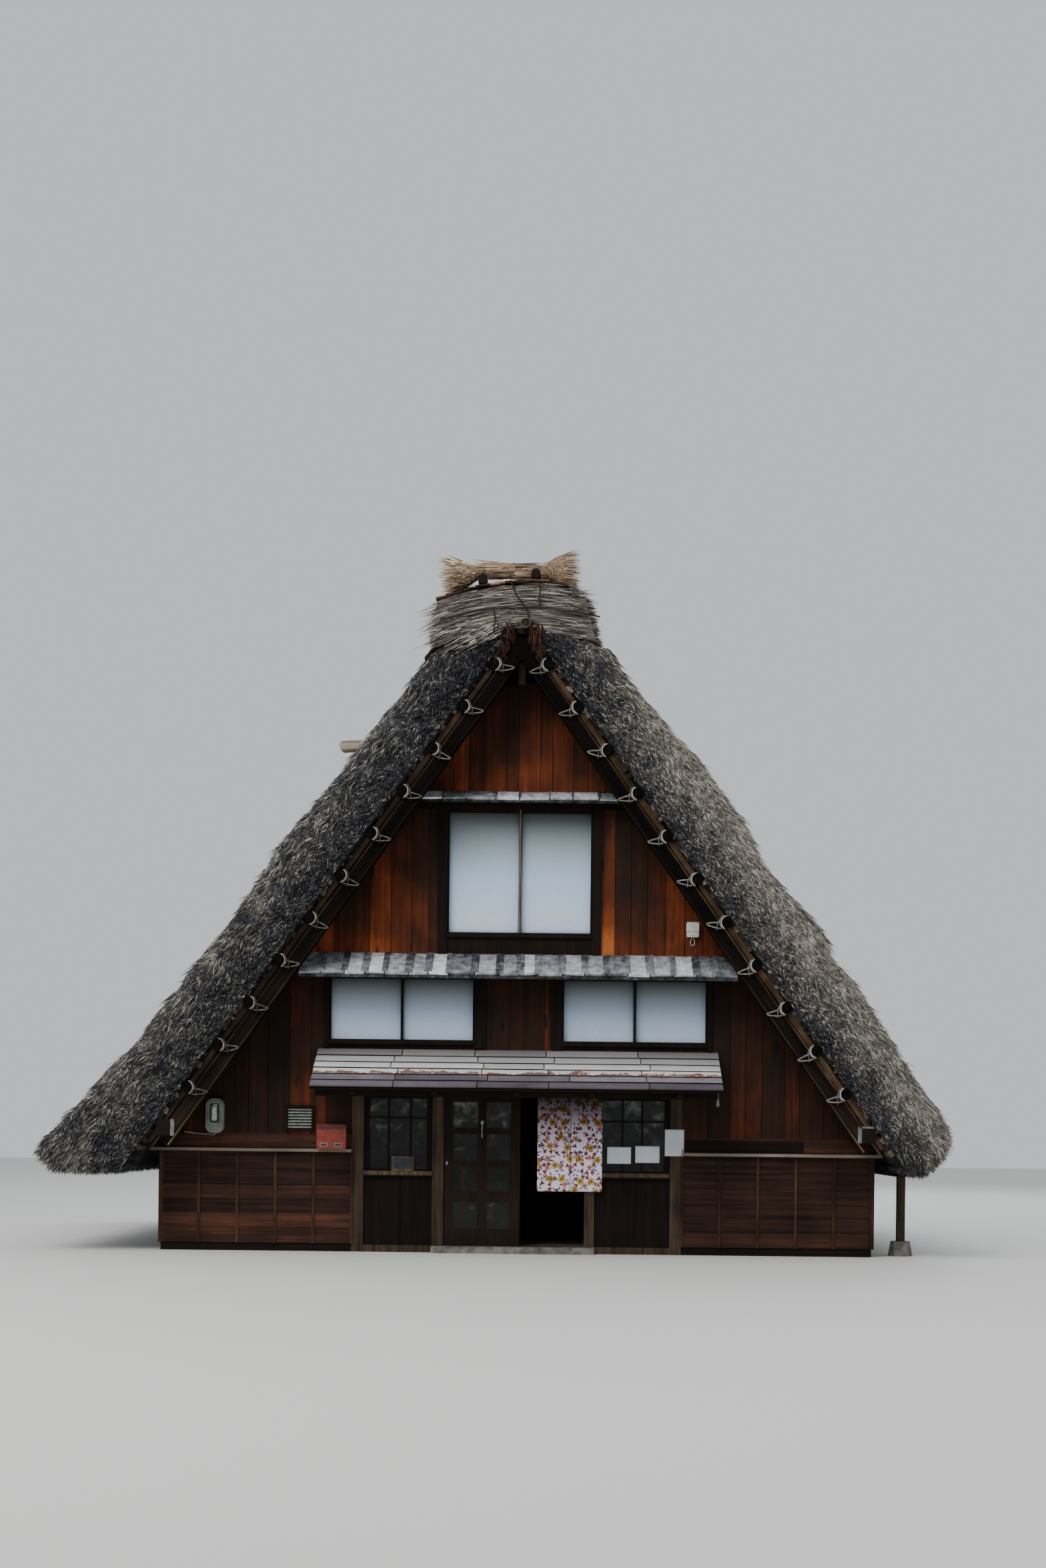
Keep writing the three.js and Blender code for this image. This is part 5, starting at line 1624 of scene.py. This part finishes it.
# Openings: thin bars, blinds, the door curtain. Each window of the bay has uprights, and a bar across
# them at one height.
BAY_BARS = {"left": ((-1.9047, -1.648, -1.365, -1.1373), 1.72), "right": ((1.0513, 1.35, 1.60, 1.9047), 1.70)}
BAY_GLASS = (1.055, 1.97)
BAR_HALF, CROSS_BAR_HALF, EDGE_BAR, BAR_OVERLAP = 0.011, 0.012, 0.014, 0.004
ATTIC_STRIP_HALF = 0.009
SILL_CAPS = ((-1.957, -1.085), (1.0, 1.957))
SILL_CAP = (0.985, 1.040)
# The small board's corners in X and Z, its lean, its frame's width and its thickness
SMALL_BOARD = ((-1.60, 1.041), (-1.315, 1.225))
BOARD_LEAN, BOARD_FRAME, BOARD_THICKNESS = 0.22, 0.022, 0.012


def make_bay_bars():
    """Thin bars in the two fixed windows of the bay: three columns, with a short top row."""
    near, far = FRONT + 0.022, FRONT + 0.05
    low, high = BAY_GLASS
    for word, (columns, row) in BAY_BARS.items():
        work = Carpentry()
        first, last = columns[0], columns[-1]
        for x in columns[1:-1]:
            work.box((x - BAR_HALF, near, low), (x + BAR_HALF, far, high), 0.4)
        work.box((first - BAR_OVERLAP, near + 0.002, row - CROSS_BAR_HALF),
                 (last + BAR_OVERLAP, far - 0.002, row + CROSS_BAR_HALF), 0.4)
        for outer, inner in ((first, first + EDGE_BAR), (last, last - EDGE_BAR)):
            x0, x1 = sorted((outer, inner))
            work.box((x0 - BAR_OVERLAP, near, low), (x1 + BAR_OVERLAP, far, high), 0.5)
        work.build(f"{word}_bay_bars", "timber", "timber", bevel=0.002)


def make_window_trim():
    """The strip up the middle of each attic window, and the caps on the bay's sills."""
    strips, caps = Carpentry(), Carpentry()
    low, high = ATTIC_WINDOW["bottom"], ATTIC_WINDOW["top"]
    for y in (FRONT - 0.017, BACK + 0.017):
        strips.box((-ATTIC_STRIP_HALF, y - 0.003, low), (ATTIC_STRIP_HALF, y + 0.003, high), 0.9)
    strips.build("attic_window_strips", "post", "timber")
    for x0, x1 in SILL_CAPS:
        caps.box((x0, FRONT - 0.046, SILL_CAP[0]), (x1, FRONT + 0.012, SILL_CAP[1]), RNG.random())
    caps.build("bay_sill_caps", "post", "timber", bevel=0.004)


def leaning_board(inset, proud):
    """A board that leans against the left window, inset and proud by so much."""
    (x0, z0), (x1, z1) = SMALL_BOARD
    left, right, bottom, top = x0 + inset, x1 - inset, z0 + inset, z1 - inset
    outline = [(left, bottom), (right, bottom), (right, top), (left, top)]
    work = Carpentry()
    near = [(x, FRONT - 0.03 + BOARD_LEAN * (z - z0) - proud, z) for x, z in outline]
    work.prism(near, [(x, y + BOARD_THICKNESS + proud, z) for x, y, z in near], 0.8)
    return work


def hung_sheet(name, spans, heights, place, finish, slot, thickness, gap_below=None):
    """A sheet of cloth as a grid, where place(x, v) gives a point.

    The gap is a column and a height, and leaves a slit in that column below that height.
    """
    points = [place(x, v) for v in heights for x in spans]
    wide = len(spans)
    faces = []
    for row in range(len(heights) - 1):
        for column in range(wide - 1):
            if gap_below and column == gap_below[0] and heights[row + 1] <= gap_below[1]:
                continue
            a = row * wide + column
            faces.append((a, a + 1, a + 1 + wide, a + wide))
    mesh = new_mesh(name, points, faces)
    mesh.shade_smooth()
    sheet = place_mesh(name, mesh, finish, slot)
    body = sheet.modifiers.new("cloth_thickness", "SOLIDIFY")
    body.thickness, body.offset = thickness, 0.0
    return sheet


# For each upper window of a gable its blinds' name, its own node, its blinds' node, its place and its side
BLIND_WINDOWS = (
    ("second_left", "second_window_left", "second_blinds", SECOND_WINDOW, -1),
    ("second_right", "second_window_right", "second_blinds", SECOND_WINDOW, 1),
    ("attic", "attic_window", "attic_blinds", ATTIC_WINDOW, 1),
)
BLIND_SETBACK = 0.0833
BLIND_EDGE_GAP, BLIND_MIDDLE_GAP = 0.005, 0.004
BLIND_COLUMNS, BLIND_ROWS = 25, 21
CLOTH_THICKNESS = 0.0015


def make_blinds():
    """Two blinds in each window of the upper storeys, a little uneven at the lower edge."""
    for face, y in (("front", FRONT + BLIND_SETBACK), ("back", BACK - BLIND_SETBACK)):
        for name, window_node, blinds_node, window, side in BLIND_WINDOWS:
            middle = side * window["centre"]
            low, high = window["bottom"] + 0.012, window["top"] + 0.02

            def place(x, z):
                """A point of the blind, whose lower edge dips and sways."""
                sway = 0.003 * sin(18 * x + 2 * z) * (high - z) / (high - low)
                return (x, y + sway, z + (0.01 * sin(3.0 * x + middle) if z == low else 0.0))

            halves = {
                "a": (middle - window["half"] + BLIND_EDGE_GAP, middle - BLIND_MIDDLE_GAP),
                "b": (middle + BLIND_MIDDLE_GAP, middle + window["half"] - BLIND_EDGE_GAP),
            }
            for label, (x0, x1) in halves.items():
                spans = np.linspace(x0, x1, BLIND_COLUMNS)
                heights = np.linspace(low, high, BLIND_ROWS)
                sheet = hung_sheet(f"{face}_{name}_blind_{label}", spans, heights, place, "blinds", "blinds",
                                   CLOTH_THICKNESS)
                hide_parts(f"{face}_{blinds_node}")


# The door curtain's rod, its slit and the slit's top, and the hem that falls behind the rod
ROD_Y, ROD_Z, ROD_RADIUS = FRONT - 0.048, 2.010, 0.0115
SLIT, SLIT_TOP = (0.684, 0.690), 1.85
HEM = 0.05
HALF_COLUMNS = 30
DROP_ROWS, ROD_ROWS, HEM_ROWS = 48, 8, 3


def make_noren():
    """The door curtain: one cloth with a slit, hemmed over its rod."""
    (x0, _, low), (x1, _, _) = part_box("noren")
    spans = list(np.linspace(x0, SLIT[0], HALF_COLUMNS)) + list(np.linspace(SLIT[1], x1, HALF_COLUMNS))
    upright = ROD_Z - low
    arc = pi * ROD_RADIUS
    heights = [v * upright / DROP_ROWS for v in range(DROP_ROWS + 1)]
    heights += [upright + arc * k / ROD_ROWS for k in range(1, ROD_ROWS + 1)]
    heights += [upright + arc + HEM * k / HEM_ROWS for k in range(1, HEM_ROWS + 1)]

    def place(x, v):
        """A point by its place across and up the cloth, which goes over the rod."""
        if v <= upright:
            fall = 1 - v / upright
            fold = (0.014 * sin(15 * x + 1.2) + 0.007 * sin(37 * x)) * (0.15 + fall)
            return (x, ROD_Y - ROD_RADIUS + fold * min(1, fall * 8), low + v)
        if v <= upright + arc:
            angle = (v - upright) / ROD_RADIUS
            return (x, ROD_Y - ROD_RADIUS * cos(angle), ROD_Z + ROD_RADIUS * sin(angle))
        return (x, ROD_Y + ROD_RADIUS, ROD_Z - (v - upright - arc))

    cloth = hung_sheet("noren_cloth", spans, heights, place, "noren", "cloth", CLOTH_THICKNESS,
                       (HALF_COLUMNS - 1, SLIT_TOP - low))
    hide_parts("noren")


make_bay_bars()
make_window_trim()
leaning_board(0.0, 0.0).build("small_board_frame", "post", "timber", bevel=0.002)
leaning_board(BOARD_FRAME, 0.003).build("small_board_slate", "slate", "timber")
make_blinds()
make_noren()


# Small things on the front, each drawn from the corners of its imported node
CORNER_STEPS = 4
LID_OVERLAP, LID_DEPTH = 0.008, 0.05
LABEL_PLACES, RIM_HALF, LABEL_HALF = (-0.095, 0.085), 0.05, 0.038
# The meter's lead past the wall plate: X, distance out and Z
METER_LEAD = [
    (-4.10, 0.0, 1.490), (-3.93, 0.0, 1.482), (-3.885, 0.01, 1.472), (-3.862, 0.02, 1.478),
    (-3.855, 0.03, 1.50),
]
# A slat of the vent in Y and Z
SLAT_SECTION = [(-0.016, -0.009), (-0.012, -0.013), (0.016, 0.009), (0.012, 0.013)]
SLAT_COUNT, FIRST_SLAT, SLAT_PITCH, VENT_FRAME = 7, 0.052, 0.0375, 0.028
# Left, right, bottom and top of each bare paper, and its Y
PAPERS = {
    "post_paper": (1.89, 2.135, 1.265, 1.608, FRONT - 0.0115),
    "window_paper_left": (1.155, 1.46, 1.16, 1.375, FRONT + 0.0135),
    "window_paper_right": (1.515, 1.825, 1.175, 1.39, FRONT + 0.0135),
}
PAPER_STEPS, PAPER_THICKNESS = 13, 0.0008
# The outer door's pulls: an edge plate, and a bow with a hanging end on its own plate
EDGE_PULL = (-0.905, -0.885, 1.12, 1.17)
PULL_PLATE = (-0.465, -0.43, 1.64, 1.69)
PULL_BOW = [(-0.447, 0.004, 1.66), (-0.447, 0.03, 1.65), (-0.449, 0.03, 1.56), (-0.447, 0.004, 1.55)]
PULL_END = [(-0.447, 0.03, 1.55), (-0.449, 0.03, 1.50), (-0.444, 0.028, 1.47)]
# The plank's two faces in X and Z, its setback behind the verge and its width
PLANK_FRONT = [(-1.7, 6.42), (-2.29, 6.37), (-2.31, 6.46), (-2.28, 6.495), (-1.7, 6.53)]
PLANK_BACK = [(-1.7, 6.42), (-2.27, 6.375), (-2.30, 6.46), (-2.28, 6.495), (-1.7, 6.53)]
PLANK_SETBACK, PLANK_WIDTH = 0.55, 0.2


def rounded(x0, x1, z0, z1, radius):
    """A rectangle in X and Z with round corners."""
    corners = (
        (x1 - radius, z1 - radius), (x0 + radius, z1 - radius),
        (x0 + radius, z0 + radius), (x1 - radius, z0 + radius),
    )
    points = []
    for quarter, (x, z) in enumerate(corners):
        for k in range(CORNER_STEPS + 1):
            angle = pi / 2 * (quarter + k / CORNER_STEPS)
            points.append((x + radius * cos(angle), z + radius * sin(angle)))
    return points


def make_mailbox():
    """The mailbox's lid, and two bare label windows in steel rims."""
    low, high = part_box("mailbox")
    lid, rims, labels = Carpentry(), Carpentry(), Carpentry()
    left, right = low.x - LID_OVERLAP, high.x + LID_OVERLAP
    lid.plate(rounded(left, right, high.z - LID_DEPTH, high.z + 0.006, 0.02), low.y - 0.014, high.y, 0.2)
    middle = (low.x + high.x) / 2
    for along in LABEL_PLACES:
        x = middle + along
        outline = rounded(x - RIM_HALF, x + RIM_HALF, low.z + 0.028, low.z + 0.078, 0.006)
        rims.plate(outline, low.y - 0.006, low.y + 0.01)
        outline = rounded(x - LABEL_HALF, x + LABEL_HALF, low.z + 0.038, low.z + 0.068, 0.004)
        labels.plate(outline, low.y - 0.009, low.y)
    # The lid and the label windows take the enamel in painted shade
    lid.build("mailbox_lid", "mailbox_shaded", "mailbox", bevel=0.003)
    rims.build("mailbox_label_rims", "steel", "vent_metal", bevel=0.0015)
    labels.build("mailbox_label_windows", "mailbox_shaded", "mailbox")


def make_meter():
    """The meter's window, with a rim, a dark hollow and pale works in it, and its lead."""
    low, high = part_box("electric_meter")
    rim, hollow, works, lead = Carpentry(), Carpentry(), Carpentry(), Carpentry()
    middle = (low.x + high.x) / 2
    outline = rounded(low.x + 0.028, high.x - 0.028, low.z + 0.10, high.z - 0.03, 0.05)
    rim.plate(outline, low.y - 0.012, low.y + 0.01, 0.3)
    outline = rounded(low.x + 0.05, high.x - 0.05, low.z + 0.13, high.z - 0.06, 0.03)
    hollow.plate(outline, low.y - 0.016, low.y, 0.5)
    outline = rounded(middle - 0.032, middle + 0.03, low.z + 0.16, high.z - 0.10, 0.01)
    works.plate(outline, low.y - 0.02, low.y, 0.5)
    outline = rounded(middle - 0.012, middle + 0.03, high.z - 0.09, high.z - 0.075, 0.004)
    works.plate(outline, low.y - 0.02, low.y, 0.5)
    rim.build("meter_rim", "meter", "meter", bevel=0.004)
    hollow.build("meter_hollow", "slate", "meter", bevel=0.002)
    works.build("meter_works", "dial", "meter", bevel=0.002)
    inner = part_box("wall_plate_left")[1].x
    y = FRONT - 0.022
    start = [(inner - 0.02, y, 1.512), (inner + 0.03, y, 1.508)]
    lead.tube(start + [(x, y - out, z) for x, out, z in METER_LEAD], 0.007, sides=8)
    lead.build("meter_conduit", "slats", "vent_metal")


def make_vent():
    """The vent's louvres, one slat set out seven times."""
    low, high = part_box("wall_vent")
    half = (high.x - low.x) / 2 - VENT_FRAME
    slat = Carpentry()
    slat.prism([(-half, y, z) for y, z in SLAT_SECTION], [(half, y, z) for y, z in SLAT_SECTION])
    middle = (low.x + high.x) / 2
    places = [(middle, low.y + 0.022, low.z + FIRST_SLAT + k * SLAT_PITCH) for k in range(SLAT_COUNT)]
    set_out("vent_slats", slat, places, "slats", "vent_metal")


def make_white_box():
    """The white box's cover, a small plate under it, and a loop of wire that hangs below."""
    low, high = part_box("white_box")
    cover, loop = Carpentry(), Carpentry()
    outline = rounded(low.x - 0.004, high.x + 0.004, low.z + 0.07, high.z + 0.004, 0.015)
    cover.plate(outline, low.y - 0.012, high.y - 0.02, 0.5)
    outline = rounded(low.x + 0.03, high.x - 0.03, low.z + 0.015, low.z + 0.05, 0.006)
    cover.plate(outline, low.y - 0.006, low.y + 0.01, 0.5)
    middle = (low.x + high.x) / 2
    y = low.y + 0.04
    path = [(middle - 0.012, y, low.z + 0.01)]
    for a in np.linspace(-pi * 0.8, pi * 0.8, 19):
        x = middle + 0.035 * sin(a) * (1.2 - abs(a) / pi)
        path.append((x, y, low.z - 0.05 - 0.055 * cos(a)))
    path.append((middle + 0.012, y, low.z + 0.01))
    loop.tube(path, 0.004)
    cover.build("white_box_cover", "white", "white_plastic", bevel=0.003)
    loop.build("white_box_wire", "white", "white_plastic")


def make_papers():
    """Bare papers, one on a post of the bay and two in its right window, curled at their sides."""
    for name, (x0, x1, z0, z1, y) in PAPERS.items():
        spans, heights = np.linspace(x0, x1, PAPER_STEPS), np.linspace(z0, z1, PAPER_STEPS)

        def place(x, z):
            """A point of the paper, which lifts towards both sides."""
            curl = 0.006 * ((2 * (x - x0) / (x1 - x0) - 1) ** 4)
            return (x, y - curl - 0.002 * sin(9 * z), z)

        hung_sheet(name, spans, heights, place, "paper", "white_plastic", PAPER_THICKNESS)


def make_door_furniture():
    """Plain pulls on the outer leaf, which ride with it."""
    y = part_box("outer_door")[0].y
    work = Carpentry()
    work.plate(rounded(*EDGE_PULL, 0.008), y - 0.012, y + 0.004)
    work.tube([(x, y - out, z) for x, out, z in PULL_BOW], 0.007)
    work.plate(rounded(*PULL_PLATE, 0.012), y - 0.008, y + 0.004)
    work.tube([(x, y - out, z) for x, out, z in PULL_END], [0.005, 0.009, 0.004])
    work.build("outer_door_pull", "steel", "vent_metal", body="outer_door_leaf")


def make_plank_end():
    """A weathered plank that runs through the left slope, with its end out in the open."""
    work = Carpentry()
    y = VERGE_FRONT + PLANK_SETBACK
    work.prism([(x, y, z) for x, z in PLANK_FRONT], [(x, y + PLANK_WIDTH, z) for x, z in PLANK_BACK], 0.7)
    work.build("slope_plank_end", "ledge", "timber", bevel=0.008)


def make_beam_ends():
    """Painted edges on the ends of the wall plates."""
    work = Carpentry()
    for word, side in SIDES.items():
        low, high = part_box(f"wall_plate_{word}")
        inner = high.x if side < 0 else low.x
        for face, y in ((-1, low.y), (1, high.y)):
            near, far = sorted((y + face * 0.006, y - face * 0.03))
            left, right = sorted((inner - side * 0.004, inner + side * 0.045))
            work.box((left, near, low.z - 0.004), (right, far, high.z + 0.002))
            if side > 0:
                work.box((inner, near, high.z - 0.02), (inner + 0.2, far, high.z + 0.004))
    work.build("wall_plate_edges", "limewash", "white_plastic", bevel=0.004)


make_mailbox()
make_meter()
make_vent()
make_white_box()
make_papers()
make_door_furniture()
make_plank_end()
make_beam_ends()
